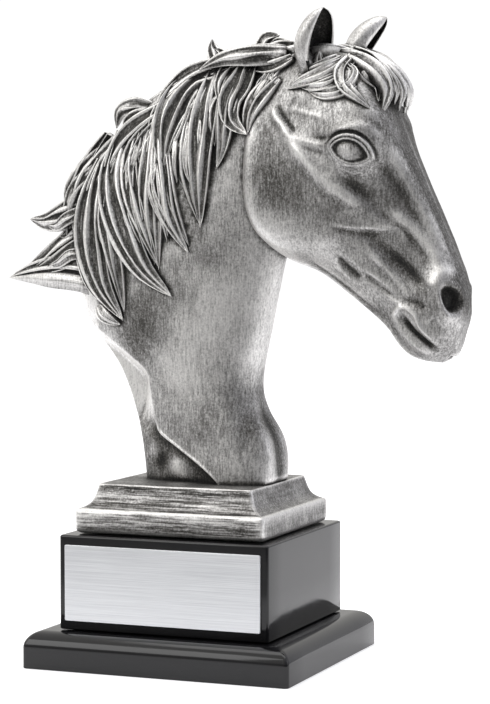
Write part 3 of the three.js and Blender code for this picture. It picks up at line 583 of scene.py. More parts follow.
def nostrilDetail(along, above):
    p, q = turned(along - nostril["along"], above - nostril["above"], nostril["turn"])
    q = q + 0.03 * p**2 - 0.2  # bent like a comma
    rho = np.hypot(p / nostril["halfLength"], q / nostril["halfWidth"])
    hole = smoothStep(1.05, 0.62, rho)
    rim = bell(rho - 1.28, 0.26)
    return nostril["rim"] * rim - nostril["depth"] * hole, 0.9 * smoothStep(1.1, 0.7, rho) - 0.1 * rim


def headRings():
    rings = []
    outlineTop, outlineLow = smoothLine(head["face"]), smoothLine(head["jaw"])
    widths = {level: smoothLine(knots) for level, knots in head["widths"].items()}
    for along in np.linspace(head["start"], head["length"], head["stations"]):
        low, high = outlineLow(along), outlineTop(along)
        knots = [(high, 0)] + [(low + (high - low) * level, widths[level](along)) for level in widths]
        half = smoothPath(knots + [(low, 0)], head["halfRing"])
        above = np.concatenate([half[:, 0], half[-2:0:-1, 0]])
        side = np.concatenate([-half[:, 1], half[-2:0:-1, 1]])
        rings.append(headPlace(np.full(len(above), along), above, side))
    return np.array(rings)


def nearFineForms(eyeReach, muzzleReach, farSide):
    def wanted(points):
        along, above = headCoordinates(points)
        atEye = np.hypot(along - eye["along"], above - eye["above"])
        atNostril = np.hypot(along - nostril["along"], above - nostril["above"])
        atMouth, _ = pathDistance(np.array([(90, -6), (100, -4.5), (108, -1)]), along, above)
        found = (atEye < eyeReach) | (atNostril < muzzleReach) | (atMouth < muzzleReach - 2.5)
        return found & (farSide | (points[:, 1] < 0))
    return wanted


def carveHead(points, normals):
    along, above = headCoordinates(points)
    swell, patinaAndShading = faceDetail(along, above)
    eyeSwell, eyePatinaAndHighlight = eyeDetail(along, above)
    holeSwell, holeTarnish = nostrilDetail(along, above)
    swell, patinaAndShading = swell + eyeSwell + holeSwell, patinaAndShading + eyePatinaAndHighlight + holeTarnish
    sideways = smoothStep(0.12, 0.5, np.abs(normals[:, 1])) * smoothStep(0.5, 3.5, np.abs(points[:, 1]))
    lipFront = smoothStep(104, 108, along)
    mouth = bell(above - smoothLine(head["lipLine"])(along), 0.8)
    swell = swell * sideways - 1.4 * (1 - sideways) * lipFront * mouth
    # painted shade on the front of the nose and the forehead, where they face forward and up
    facing = normals[:, 0] * headUp[0] + normals[:, 2] * headUp[1]
    front = smoothStep(0.45, 0.85, facing) * smoothStep(14, 24, along)
    patinaAndShading = patinaAndShading * sideways + 0.7 * (1 - sideways) * lipFront * mouth
    patinaAndShading = patinaAndShading + 0.36 * front * smoothStep(106, 96, along)
    return points + normals * swell[:, None], patinaAndShading


def aroundMouthAndCheekbone(points):
    along, above = headCoordinates(points)
    return (along > 54) & (along < 88) & (above > -19) & (above < 7) & (points[:, 1] < 0)


def aroundTemple(points):
    along, above = headCoordinates(points)
    return (points[:, 1] < -3) & (along > 8) & (along < 44) & (above > -19) & (above < 14)


def buildHead():
    points, faces = skinRings(headRings())
    passes = [aroundTemple, aroundMouthAndCheekbone, nearFineForms(*head["fine"], farSide=True),
              nearFineForms(*head["finest"], farSide=False)]
    points, normals, faces = refine(points, faces, passes)
    carved, patinaAndShading = carveHead(points, normals)
    addShell(carved, faces, patinaAndShading=patinaAndShading, rub=0.55)
    return carved, faces


headPoints, headFaces = buildHead()
print("head made,", trianglesSoFar(), "triangles so far")


# What the hair lies on
bodyTree = BVHTree.FromPolygons(
    np.concatenate([neckPoints, headPoints]).tolist(),
    neckFaces + [tuple(k + len(neckPoints) for k in face) for face in headFaces],
)


def onBody(x, z, side):
    # the body's side at a place seen from the side: how far out it is, and which way it faces
    hit, normal, _, _ = bodyTree.ray_cast(Vector((x, side * 90, z)), Vector((0, -side, 0)))
    if hit is None:
        return 2.0, np.array([0.0, side, 0.0])
    facing = np.array(normal) * (1 if normal.y * side > 0 else -1)
    return abs(hit.y), facing


# A lock of hair: ridges and channels along it, widest past its root and drawn out to a point
def lockSection(flutes, ridges, dice):
    # places across a lock from -1 to 1, how deep each lies in a channel, and how rubbed it is
    if ridges is None:
        step = 2 / flutes
        ridges = []
        for k in range(flutes + 1):
            shift = 0 if k in (0, flutes) else dice.uniform(-0.16, 0.16) * step
            ridges.append((-1 + k * step + shift, dice.uniform(0.05, 0.17) * step, 1.0))
    places, depths, marks = [], [], []
    for k, (centre, half, rubbed) in enumerate(ridges):
        if k:
            start, end = ridges[k - 1][0] + ridges[k - 1][1], centre - half
            for share, deep, mark in ((0.16, 0.62, 0.3), (0.36, 0.95, 0), (0.64, 1, 0), (0.84, 0.62, 0.3)):
                places.append(start + (end - start) * share)
                depths.append(deep)
                marks.append(mark)
            places.append(end)
            depths.append(0.12)
            marks.append(0.9 * rubbed)
        places.append(centre)
        depths.append(0)
        marks.append(rubbed)
        if k < len(ridges) - 1:
            places.append(centre + half)
            depths.append(0.12)
            marks.append(0.9 * rubbed)
    return np.array(places), np.array(depths), np.array(marks)


def lockShell(path, outs, width, rise, flutes=3, sink=1.2, root=0.55, stations=24, depth=0.4, wave=0.0,
              bothSides=False, tip=0.95, ridges=None, bare=0.0):
    dice = np.random.default_rng(int(abs(np.sum(np.array(path)) * 10)) + flutes)
    at = np.concatenate([np.linspace(0, 0.93, stations - 4), [0.95, 0.972, 0.99, 1]])
    run = smoothPath(path, 401)[np.round(at * 400).astype(int)]
    tangent = unit(np.gradient(run, axis=0))
    outs = np.array(outs, float)
    if outs.ndim == 1:
        out = np.repeat(outs[None], stations, 0)
    else:
        knots = np.linspace(0, 1, len(outs))
        out = np.stack([np.interp(at, knots, outs[:, k]) for k in range(3)], 1)
    across = unit(np.cross(tangent, out))
    lift = unit(np.cross(across, tangent))
    if (lift * out).sum() < 0:
        lift = -lift
    full = (root + (1 - root) * np.sin(np.minimum(at / 0.4, 1) * math.pi / 2)) * (
        1 - tip * np.clip((at - 0.3) / 0.7, 0, 1) ** 2)
    full = full * np.sqrt(1 - np.clip((at - 0.93) / 0.07, 0, 0.97) ** 2)  # the point is rounded
    c, deep, arris = lockSection(flutes, ridges, dice)
    # the ridges wander a little
    sway = wave * np.sin(at * 6 + dice.uniform(0, 6))[:, None] * (1 - c**2)[None, :]
    second = 0.5 * wave * np.sin(at * 11 + 5 * c[None, :].T).T * (1 - c**2)[None, :]
    spread = c[None, :] + sway + second
    half = (width / 2 * full)[:, None]
    crown = (1 - 0.45 * np.abs(c) ** 3)[None, :]
    channel = np.minimum(depth * 2 * half / flutes, 1.9)
    height = rise * np.maximum(full, 0.2)[:, None] * crown - channel * deep[None, :]
    top = run[:, None] + across[:, None] * (half * spread)[..., None] + lift[:, None] * height[..., None]
    if bothSides:
        low = run[:, None] + across[:, None] * (half * spread)[..., None] - lift[:, None] * height[..., None]
        rings = np.concatenate([top, low[:, -2:0:-1]], 1)
        marks = np.concatenate([arris, arris[-2:0:-1]])
        spots = np.concatenate([c, c[-2:0:-1]])
    else:
        tuck = np.array([0.9, 0.5, -0.5, -0.9])
        low = run[:, None] + across[:, None] * (half * tuck[None, :])[..., None]
        low = low - lift[:, None] * (sink * np.maximum(full, 0.12))[:, None, None]
        rings = np.concatenate([top, low], 1)
        marks = np.concatenate([arris, [0, 0, 0, 0]])
        spots = np.concatenate([c, tuck])
    points, faces = skinRings(rings)
    # ridges are rubbed unevenly, least near the root
    uneven = np.stack([np.sin(at * dice.uniform(4, 11) + dice.uniform(0, 6)) for _ in marks], 1)
    marks = marks[None, :] * (0.72 + 0.28 * uneven) * smoothStep(bare - 0.35, bare + 0.05, at)[:, None]
    tipMark = smoothStep(0.82, 1, at)[:, None]
    arrisMarks = np.concatenate([(marks * (1 - tipMark) + 0.75 * tipMark).ravel(), [0, 0.8]])
    strand = np.concatenate([np.tile(spots * width / 2, stations), [0, 0]])
    return points, faces, arrisMarks, strand


def addLock(*args, patinaAndShading=0.0, **options):
    points, faces, arris, strand = lockShell(*args, **options)
    addShell(points, faces, arris, strand, patinaAndShading)


# Mane on the side of the neck: path seen from the side, width, lift off the neck, channels
maneUnder = {
    "bedRear": ([(-33, 178), (-41, 165), (-45, 150), (-43, 134), (-37, 121)], 13, 0.1, 3),
    "bedLow": ([(-30, 172), (-36, 156), (-36, 140), (-31, 128), (-27, 121)], 13, 0.2, 3),
    "bedMiddle": ([(-22, 178), (-26, 163), (-24, 149), (-18, 138), (-12, 131)], 13, 0.1, 3),
    "bedInner": ([(-15, 186), (-17, 170), (-16, 157), (-13, 146), (-12, 138)], 10, 0.1, 3),
    "bedInnerFront": ([(-8, 188), (-10, 174), (-9, 162), (-6, 152), (-4, 146)], 10, 0.1, 2),
    "bedFront": ([(0, 192), (-2, 178), (-2, 168), (1, 160), (3, 154)], 10, 0.1, 2),
    "bedHigh": ([(8, 200), (6, 188), (6, 178), (8, 170), (9, 166)], 10, 0.1, 2),
    "bedThroat": ([(18, 203), (16, 192), (15, 182), (13, 174), (11, 170)], 10, 0.2, 2),
    "bedCheek": ([(27, 203), (25, 195), (22, 189), (20, 184)], 8, 0.2, 2),
    "bedCrown": ([(34, 204), (31, 199), (27, 194), (24, 189)], 7, 0.1, 2),
}
maneNear = {
    "innerThird": ([(-15.2, 181), (-15.3, 169), (-15.3, 158), (-14, 147), (-12.2, 134.6)], 7, 1.1, 2),
    "innerFourth": ([(-12, 183), (-11.2, 172), (-10.8, 160), (-10.9, 147), (-10.7, 132.8)], 4.5, 1.1, 1),
    "lowestInner": ([(-31, 162), (-32, 152), (-29.6, 142), (-27, 132), (-24.4, 118.4)], 7, 1.6, 2),
    "lowest": ([(-34, 170), (-37.4, 156), (-38.4, 142), (-34.4, 128), (-25, 115.4)], 14, 1.9, 3),
    "broadInner": ([(-22, 178), (-23.2, 167), (-20.6, 156), (-16, 146), (-10.8, 134)], 7, 1.6, 2),
    "broad": ([(-27, 180), (-28.8, 164), (-25, 148), (-17, 134), (-5.4, 123.8)], 13.5, 2.3, 3),
    "besideShort": ([(-9, 176), (-7.6, 166), (-5.4, 156), (-2, 147), (0.6, 141)], 4, 1.0, 1),
    "short": ([(-12, 178), (-10.4, 166), (-7.6, 153), (-3.6, 145), (0.8, 138.4)], 7.5, 1.6, 2),
    "besideLong": ([(1.4, 190), (-0.6, 178), (-0.6, 166), (1.6, 157), (4.6, 148)], 5, 1.1, 1),
    "long": ([(7, 200), (5.6, 188), (4.6, 174), (4.8, 161), (5, 147)], 9.5, 2.0, 2),
    "leafUnder": ([(1, 193), (-3, 183), (-6, 175), (-9, 168)], 7, 1.2, 2),
    "leaf": ([(10, 201), (-1, 195.4), (-7, 187), (-9.8, 177), (-9.4, 166)], 13.5, 2.5, 3),
    "stripThroat": ([(11, 202), (8.8, 193), (8.7, 183), (9.6, 174)], 4.6, 1.5, 1),
    "throatLatch": ([(17, 200), (14, 189), (13.4, 180), (12.4, 173), (10.4, 166.6)], 7, 1.7, 2),
    "fineFirst": ([(27.3, 196), (22.6, 189), (20.7, 183.4), (21.4, 178)], 4, 1.5, 1),
    "fineSecond": ([(32, 196), (27.3, 190), (23.5, 184), (22.1, 178)], 4, 1.4, 1),
    "curlBack": ([(18, 205), (12.4, 201), (10, 195), (10.8, 187)], 6, 2.0, 2),
    "curled": ([(19.4, 203), (17.6, 195.4), (14.6, 189), (15.8, 182.6), (22.4, 177.6)], 9, 2.6, 2),
    "level": ([(36, 206), (29.5, 204.6), (23, 202.8), (16.4, 204.8)], 9.4, 2.8, 2),
    "levelLow": ([(35.6, 203), (29.9, 200.6), (24.2, 199.8), (18.5, 201)], 4.4, 2.4, 1),
    "highRear": ([(8.8, 202), (0, 199), (-7, 194.4), (-12.1, 188), (-13.4, 178)], 8.4, 1.8, 2),
    "highRearLow": ([(-2, 197), (-9, 191), (-13.6, 184), (-16.4, 174)], 7, 1.5, 2),
    "midRear": ([(-12, 187), (-20, 181.6), (-26.4, 175.6), (-31, 167), (-33.6, 157)], 9.4, 1.9, 2),
    "midRearLow": ([(-14, 183), (-20, 176), (-24.4, 168), (-27, 157)], 6.5, 1.4, 2),
    "lowRear": ([(-28, 178), (-36, 170), (-42, 161), (-45, 150), (-44, 138)], 9, 1.7, 2),
    "lowRearEdge": ([(-38, 164), (-42.4, 152), (-43.6, 140), (-40, 128), (-33, 120)], 6, 1.0, 2),
}
maneFarLeftOut = ("innerFourth", "lowestInner", "besideShort", "besideLong", "leafUnder", "fineSecond",
                  "levelLow", "midRearLow", "curlBack", "bedCrown")


def layOnBody(path, side, lift, least, sunk, settle, share, lean=0.0):
    # places along the body's side, the last one settled lower, and the way out at each
    places, outs = [], []
    for i, (x, z) in enumerate(path):
        reach, facing = onBody(x, z, side)
        height = lift * (settle if i == len(path) - 1 else 1)
        places.append((x, side * (max(reach, least) + height - sunk), z))
        outs.append(unit((1 - share) * np.array([lean, side, lean]) + share * facing))
    return places, outs


def addManeLock(row, side, under=False):
    path, width, lift, flutes = row
    places, outs = layOnBody(path, side, lift, least=2.5, sunk=0.5, settle=0.75, share=0.45)
    stations = (13 if under or flutes == 1 else 20) if side < 0 else 11
    # the under layer gets painted shade, as it lies beneath the upper locks
    addLock(places, outs, width, 1.3 if under else 2.1, flutes=flutes, sink=2.6, wave=0.14,
            stations=stations, patinaAndShading=0.2 if under else 0.0)


# Loose strands between the locks
strands = {"near": 34, "far": 12, "width": (1.3, 2.6), "lift": (0.6, 1.7)}


def addStrand(side, dice):
    rows = list(maneUnder.values())
    k = dice.integers(0, len(rows) - 1)
    mix = dice.uniform(0, 1)
    path = [(a[0] * (1 - mix) + b[0] * mix, a[1] * (1 - mix) + b[1] * mix)
            for a, b in zip(smoothPath(rows[k][0], 8), smoothPath(rows[k + 1][0], 8))]
    start = dice.integers(0, 4)
    path = path[start:start + dice.integers(4, 6)]
    sway = dice.uniform(-1.5, 1.5)
    path = [(x + sway * math.sin(1.3 * i), z) for i, (x, z) in enumerate(path)]
    addManeLock((path, dice.uniform(*strands["width"]), dice.uniform(*strands["lift"]), 1), side)


dice = np.random.default_rng(11)
for side in (-1, 1):
    for name, row in maneUnder.items():
        if side < 0 or name not in maneFarLeftOut:
            addManeLock(row, side, under=True)
    for _ in range(strands["near"] if side < 0 else strands["far"]):
        addStrand(side, dice)
    for name, row in maneNear.items():
        if side < 0 or name not in maneFarLeftOut:
            addManeLock(row, side)
print("mane made,", trianglesSoFar(), "triangles so far")


# Hair that flies off the crest, with its own distance to the side: path, width, thickness, channels
flying = {
    "over": ([(-34, 1, 152), (-45, 1, 143), (-57, 0, 136), (-69, 0, 130.6)], 13, 4.2, 3),
    "overNear": ([(-36, -4, 144), (-45, -4, 139), (-54, -3, 134.6), (-64, -2, 131.4)], 8, 2.6, 2),
    "overTuft": ([(-40, -5, 138), (-47, -5.4, 137.6), (-52, -4.6, 134.6), (-58, -3, 133.4)], 4, 2, 2),
    "short": ([(-38, 0, 158), (-49, 0, 152), (-58, 0, 149), (-65.8, 0, 150)], 11, 4.4, 3),
    "shortTuft": ([(-42, -4, 153), (-49, -4.4, 150), (-53, -4, 147.4), (-58, -2, 147.8)], 4.6, 2.2, 2),
    "shortUnder": ([(-38, 0, 151), (-46, -1, 146), (-51, -1, 143.6), (-54, -1, 144)], 7, 3.2, 2),
    "flap": ([(-33, 0, 174), (-42, 0, 167), (-49, 0, 160), (-51.6, 0, 152)], 9, 4, 2),
    "flapLow": ([(-38, -2, 166), (-45, -2, 160), (-48.6, -2, 152), (-47, -2, 145)], 8, 3.4, 2),
    "crestRoll": ([(-4, 0, 195.4), (-17, 0, 187), (-29, 0, 176), (-39, 0, 168)], 8, 5, 3),
    "curl": ([(-17, -2, 187), (-23, -3, 188.6), (-29, -3, 186.8), (-31, -3, 181)], 6, 2.8, 2),
    "curlInner": ([(-15, -4, 185), (-21, -5, 185.6), (-26, -5, 183.4), (-27, -4, 179)], 4, 2, 1),
    "tuft": ([(6, -3, 199), (6.4, -3, 203), (5, -3, 207.4), (4.6, -3, 210.4)], 6, 2.2, 2),
    "tuftSide": ([(12, -4, 200), (11, -4, 204), (8, -4, 206.4), (6, -4, 207)], 4, 1.8, 1),
    "crown": ([(24, 1, 203), (22.6, 1, 206.8), (23.6, 1, 210), (27.4, 1, 211.4)], 7.6, 2.6, 2),
    "crownLow": ([(31, 0, 204.6), (30, 0, 207), (27.6, 0, 208.8), (24.6, 0, 209)], 5, 2.2, 1),
    "crestTop": ([(35, -2, 203.6), (21, -2, 203.2), (7, -2, 200.8), (-6, -2, 195)], 10, 5, 3),
    "crestTopNear": ([(33, -6, 204), (22, -7, 204), (11, -7, 203.4), (1, -6, 200)], 7, 3.6, 2),
}
for name, (path, width, thickness, flutes) in flying.items():
    addLock(path, (0, -1, 0), width, thickness, flutes=flutes, root=0.85, bothSides=True, wave=0.16,
            depth=0.3, stations=18, bare=0.55, patinaAndShading=0.25)
# the longest lock is smooth below, with one bright line along it
longLock = {
    "path": [(-30, 0, 124.4), (-45, 0, 128.6), (-60, 0, 130), (-73.6, 0, 129.4)], "width": 20, "rise": 5.6,
    "ridges": [(-0.42, 0.58, 0.3), (0.42, 0.07, 0.9), (0.9, 0.1, 0.4)],
}
addLock(longLock["path"], (0, -1, 0), longLock["width"], longLock["rise"], flutes=4, root=0.85,
        bothSides=True, wave=0.04, depth=0.34, stations=24, ridges=longLock["ridges"], patinaAndShading=0.1, bare=0.2)
lowTuft = {  # under the lowest lock
    "path": [(-35, -9, 120), (-32.4, -10.6, 117), (-29, -11, 115), (-26, -11, 114)],
    "width": 4.2, "rise": 2.2,
}
addLock(lowTuft["path"], (0, -1, 0), lowTuft["width"], lowTuft["rise"], flutes=2, sink=4, stations=14)


# Forelock: locks that fall over the forehead, and others swept back over the temples
forelock = {
    "cap": ([(34, 0, 203), (44, 0, 205), (53, 0, 204.4), (61, 0, 199.4)], 20, 2.8, 4),
    "capUnder": ([(42, -5, 202.6), (52, -6, 202.6), (59, -7, 198.6), (63, -8, 193.6)], 12, 2.6, 3),
    "capFar": ([(44, 7, 203), (52, 8, 203), (59, 8, 200), (64, 8, 196)], 12, 2.6, 3),
}
foreheadRow = {
    "places": (-9.5, -6.4, -3.2, 0.2, 3.6, 7, 10.2), "width": 6.6, "rise": 2.7,
    "reach": (0.2, 1.6, 2.8, 3.2, 2.6, 1.4, 0.2), "drop": (2.4, -1.2, 0.8, -0.6, 1.4, -1.2, 1.8),
    "curl": (-2.5, 1.6, -1.2, 1.4, -1.6, 1.8, 2.2),
}
temple = {  # seen from the side, with width, lift and flutes
    "sweepHigh": ([(53, 203.4), (49.6, 200.4), (44, 198.4), (39, 197)], 4.6, 1.6, 2),
    "sweep": ([(55.4, 202), (52, 198.4), (47.4, 196.4), (40.8, 194.4), (35.6, 192.4)], 6.0, 2.2, 2),
    "sweepMiddle": ([(56.5, 197.4), (50.9, 194.2), (45.3, 193), (39.8, 193.2)], 4.8, 1.6, 2),
    "sweepLow": ([(59.4, 193.4), (54, 190.8), (48.5, 190.2), (43.4, 191.6)], 4.2, 1.2, 2),
    "knot": ([(55, 200.4), (58.6, 197), (57.6, 193.4), (54.4, 193.6), (54.6, 196)], 3.2, 2.6, 2),
    "loop": ([(57.3, 203.6), (54.8, 198), (56.4, 193), (61.1, 189.2), (65.2, 185.4)], 5.2, 2.6, 2),
    "front": ([(58.5, 202), (61.3, 196.6), (65, 192.5), (66.8, 187.8)], 5.4, 2.8, 2),
    "frontHigh": ([(56, 205), (62, 201.2), (66, 197), (69, 192.4)], 5.6, 2.8, 2),
}


def addForelock():
    for path, width, rise, flutes in forelock.values():
        out = unit(np.array([0.45, path[1][1] * 0.12, 0.8]))
        addLock(path, out, width, rise, flutes=flutes, sink=3.6, root=0.7, wave=0.2, stations=19, patinaAndShading=0.2)
    for side in (-1, 1):
        for name, (path, width, lift, flutes) in temple.items():
            if side > 0 and name == "knot":
                continue
            places, outs = layOnBody(path, side, lift, least=5.0, sunk=0.4, settle=0.3, share=0.6, lean=0.3)
            addLock(places, outs, width, 1.9, flutes=flutes, sink=2.4, wave=0.2, stations=18, root=0.6)
    row = foreheadRow
    for y, reach, drop, curl in zip(row["places"], row["reach"], row["drop"], row["curl"]):
        path = [(50, y * 0.55, 204.6), (58, y * 0.8, 203.2 - 0.05 * abs(y)), (65.4 + reach * 0.8, y, 198),
                (69.4 + reach, y + curl * 0.5, 191.6), (67.6 + reach * 1.2, y + curl, 186 - drop)]
        addLock(path, (0.75, 0.05 * y, 0.5), row["width"], row["rise"], flutes=2, sink=3.4, root=0.7,
                wave=0.25, patinaAndShading=0.12, stations=20)


addForelock()
print("hair made,", trianglesSoFar(), "triangles so far")


# Ears: a leaf rolled into an open cup
ears = {
    "height": 20, "width": 15.6, "wall": 0.82, "rings": 30, "around": 26, "openHalf": 54, "oval": 0.62,
    "bow": 1.2, "patinaAndShading": (0.25, 0.12), "tuft": (0.02, 0.12, 0.22, 0.3),
    "near": {"root": (42.8, -9.3, 200), "tip": (48.4, -14.3, 218.4), "open": (0.93, -0.37, 0.03)},
    "far": {"root": (49.6, 9.3, 201.4), "tip": (60.7, 14.1, 217.3), "open": (0.96, 0.2, -0.2)},
    "spread": [(-0.3, 0.4), (0, 0.74), (0.3, 1), (0.55, 0.97), (0.8, 0.72), (0.94, 0.4), (1, 0.06)],
}


def buildEar(place):
    foot, end = np.array(place["root"], float), np.array(place["tip"], float)
    axis = unit(end - foot)
    out = np.array(place["open"], float)
    out = unit(out - axis * (out @ axis))
    across = np.cross(axis, out)
    spread = smoothLine(ears["spread"])
    opening = math.radians(ears["openHalf"])
    outer = np.linspace(opening, 2 * math.pi - opening, ears["around"])
    wall, oval = ears["wall"], ears["oval"]
    darkOut, darkIn = ears["patinaAndShading"]
    rings, patinaAndShading, arris = [], [], []
    for at in np.linspace(-0.3, 1, ears["rings"]):
        half = ears["width"] / 2 * spread(at)
        bow = ears["bow"] * math.sin(math.pi * at)
        cup = smoothStep(0.02, 0.35, at)
        centre = foot + axis * at * ears["height"] - out * bow
        ring = []
        for turn in outer:
            ring.append(centre + across * half * math.sin(turn) + out * half * oval * math.cos(turn))
        for turn in outer[::-1]:
            deep = half * oval * (math.cos(turn) * wall * cup + math.cos(opening) * (1 - cup))
            deep = deep + 0.5 * spread(at)
            ring.append(centre + across * half * (0.86 * math.sin(turn)) + out * deep)
        rings.append(ring)
        inner = np.clip(np.sin((outer[::-1] - opening) / (2 * math.pi - 2 * opening) * math.pi), 0, 1)
        patinaAndShading.append(np.concatenate([np.full(len(outer), darkOut), darkIn * inner ** 0.5]))
        lip = np.zeros(2 * len(outer))
        lip[[0, len(outer) - 1, len(outer), -1]] = 1
        arris.append(lip)
    points, faces = skinRings(np.array(rings))
    pad = [0, 0]
    addShell(points, faces, arris=np.concatenate([np.ravel(arris), pad]),
             patinaAndShading=np.concatenate([np.ravel(patinaAndShading), pad]))
    # a tuft of hair low in the cup
    run = [foot + axis * ears["height"] * at + out * (2.6 - 3 * at) for at in ears["tuft"]]
    addLock(run, out, 3.4, 1.6, flutes=2, sink=1.5, stations=12)


buildEar(ears["near"])
buildEar(ears["far"])
print("ears made,", trianglesSoFar(), "triangles so far")


# Join the shells and work out how hollow or raised each place is
occlusion = {"rays": 22, "reach": 11.0, "short": 2.6, "smooth": 4, "lift": 0.12}
boxMargin = 0.05


def joinShells():
    points = np.concatenate([s[0] for s in shells])
    faces, start = [], 0
    for shell in shells:
        faces.extend(tuple(k + start for k in face) for face in shell[1])
        start += len(shell[0])
    marks = [np.concatenate([s[2][k] for s in shells]) for k in range(5)]
    return points, faces, marks


def measureHollows(mesh, points, normals):
    tree = BVHTree.FromPolygons(points.tolist(), [tuple(p.vertices) for p in mesh.polygons])
    count = occlusion["rays"]
    k = np.arange(count) + 0.5
    height = np.sqrt(1 - k / count * 0.97)
    turn = math.pi * (1 + 5**0.5) * k
    ring = np.sqrt(1 - height**2)
    local = np.stack([ring * np.cos(turn), ring * np.sin(turn), height], 1)
    helper = np.where(np.abs(normals[:, 2:3]) < 0.9, [[0.0, 0.0, 1.0]], [[1.0, 0.0, 0.0]])
    side = unit(np.cross(normals, helper))
    other = np.cross(normals, side)
    starts = (points + normals * occlusion["lift"]).tolist()
    wide, near = np.zeros(len(points)), np.zeros(len(points))
    for direction in local:
        rays = (side * direction[0] + other * direction[1] + normals * direction[2]).tolist()
        for i, (start, ray) in enumerate(zip(starts, rays)):
            distance = tree.ray_cast(start, ray, occlusion["reach"])[3]
            if distance is not None:
                wide[i] += 1 - 0.7 * distance / occlusion["reach"]
                if distance < occlusion["short"]:
                    near[i] += 1
    return wide / count, near / count


def measureEdges(mesh, points, normals):
    edges = np.empty(len(mesh.edges) * 2, np.int32)
    mesh.edges.foreach_get("vertices", edges)
    a, b = edges.reshape(-1, 2).T
    count = np.bincount(a, minlength=len(points)) + np.bincount(b, minlength=len(points))

    def spread(values):
        total = np.stack([np.bincount(a, column[b], len(points)) + np.bincount(b, column[a], len(points))
                          for column in values.T], 1)
        return total / np.maximum(count, 1)[:, None]

    smooth = points
    for _ in range(occlusion["smooth"]):
        smooth = 0.4 * smooth + 0.6 * spread(smooth)
    return ((points - smooth) * normals).sum(1), spread


def makeMesh(name, points, faces):
    mesh = bpy.data.meshes.new(name)
    mesh.from_pydata((np.asarray(points) * mm).tolist(), [], faces)
    mesh.polygons.foreach_set("use_smooth", [True] * len(mesh.polygons))
    mesh.update()
    thing = bpy.data.objects.new(name, mesh)
    bpy.context.scene.collection.objects.link(thing)
    return thing


points, faces, (arris, strand, patinaAndShading, rub, level) = joinShells()
points = np.clip(points, castingLow + [boxMargin, boxMargin, 0], castingHigh - boxMargin)
casting = makeMesh("silver_casting", points, faces)
normals = np.empty(len(points) * 3)
casting.data.vertices.foreach_get("normal", normals)
normals = normals.reshape(-1, 3)
raised, spread = measureEdges(casting.data, points, normals)
wide, near = measureHollows(casting.data, points, normals)
wide = 0.5 * wide + 0.5 * spread(wide[:, None])[:, 0]
for key, values in {"arris": arris, "strand": strand, "patinaAndShading": patinaAndShading, "raised": raised * rub,
                    "hollow": wide, "crevice": near, "level": level}.items():
    layer = casting.data.attributes.new(key, "FLOAT", "POINT")
    layer.data.foreach_set("value", np.asarray(values, np.float32))
print("casting joined,", sum(len(p.vertices) - 2 for p in casting.data.polygons), "triangles")


# Foot and block: lacquered board, each edge softened. Plate: a thin sheet with a fine bevel.
# Each is built from levels: how far in from its sides, and how high
foot = {"face": 7, "edgeRun": 5.8, "corner": 1.4, "edgeSteps": 14, "lowEdge": 0.4, "lowSteps": 4}
block = {"corner": 1.0, "edge": 0.7, "edgeSteps": 6}
plate = {"corner": 0.5, "edge": 0.18}


def levelRings(size, corner, levels, sideSteps, cornerSteps):
    rings = [roundedRing(size[0] - 2 * inset, size[1] - 2 * inset, corner, height, sideSteps, cornerSteps)
             for inset, height in levels]
    return skinRings(np.array(rings))


def roundedEdge(inset, start, rise, steps):
    # levels over an edge that turns from upright to flat
    turns = [math.radians(90 * k / steps) for k in range(steps + 1)]
    return [(inset * (1 - math.cos(turn)), start + rise * math.sin(turn)) for turn in turns]


def addBoard(name, size, corner, levels):
    points, faces = levelRings(size, corner, levels, sideSteps=6, cornerSteps=5)
    return makeMesh(name, points, facingOut(points, faces))


def buildFoot():
    length, depth, height = footHigh - footLow
    low, run, face = foot["lowEdge"], foot["edgeRun"], foot["face"]
    levels = [(low, 0)]
    for k in range(foot["lowSteps"] + 1):
        turn = math.radians(90 * k / foot["lowSteps"])
        levels.append((low * (1 - math.sin(turn)), low * (1 - math.cos(turn))))
    levels.append((0, face - 0.2))
    levels += roundedEdge(run, face, height - face, foot["edgeSteps"])
    levels += [(run + inset, height) for inset in (0.3, 3, 12)]
    return addBoard("black_foot", (length, depth), foot["corner"], levels)


def buildBlock():
    length, depth, height = blockHigh - blockLow
    bottom, edge = blockLow[2], block["edge"]
    levels = [(edge * 0.5, bottom), (0, bottom + edge * 0.5), (0, bottom + height / 2)]
    levels += roundedEdge(edge, bottom + height - edge, edge, block["edgeSteps"])
    levels += [(edge + inset, bottom + height) for inset in (0.3, 6)]
    return addBoard("black_block", (length, depth), block["corner"], levels)


def buildPlate():
    length, depth, height = plateHigh - plateLow
    middle = (plateHigh + plateLow) / 2
    edge = plate["edge"]
    levels = [(0, 0), (0, depth - edge), (edge * 0.3, depth - edge * 0.3), (edge, depth), (edge * 2, depth),
              (4, depth), (9, depth)]
    points, faces = levelRings((length, height), plate["corner"], levels, sideSteps=12, cornerSteps=4)
    flat = np.stack([points[:, 0] + middle[0], plateHigh[1] - points[:, 2], points[:, 1] + middle[2]], 1)
    return makeMesh("blank_plate", flat, facingOut(flat, faces))


blackFoot, blackBlock, blankPlate = buildFoot(), buildBlock(), buildPlate()
print("base made")


# Material helpers
def newMaterial(name):
    material = bpy.data.materials.new(name)
    material.use_nodes = True
    nodes = material.node_tree.nodes
    nodes.clear()
    shader = nodes.new("ShaderNodeBsdfPrincipled")
    output = nodes.new("ShaderNodeOutputMaterial")
    material.node_tree.links.new(shader.outputs[0], output.inputs[0])
    return material, material.node_tree, shader


def feed(tree, node, values):
    # each input by name or number, linked or set
    for key, value in values.items():
        socket = node.inputs[key]
        if isinstance(value, bpy.types.NodeSocket):
            tree.links.new(value, socket)
        else:
            socket.default_value = value


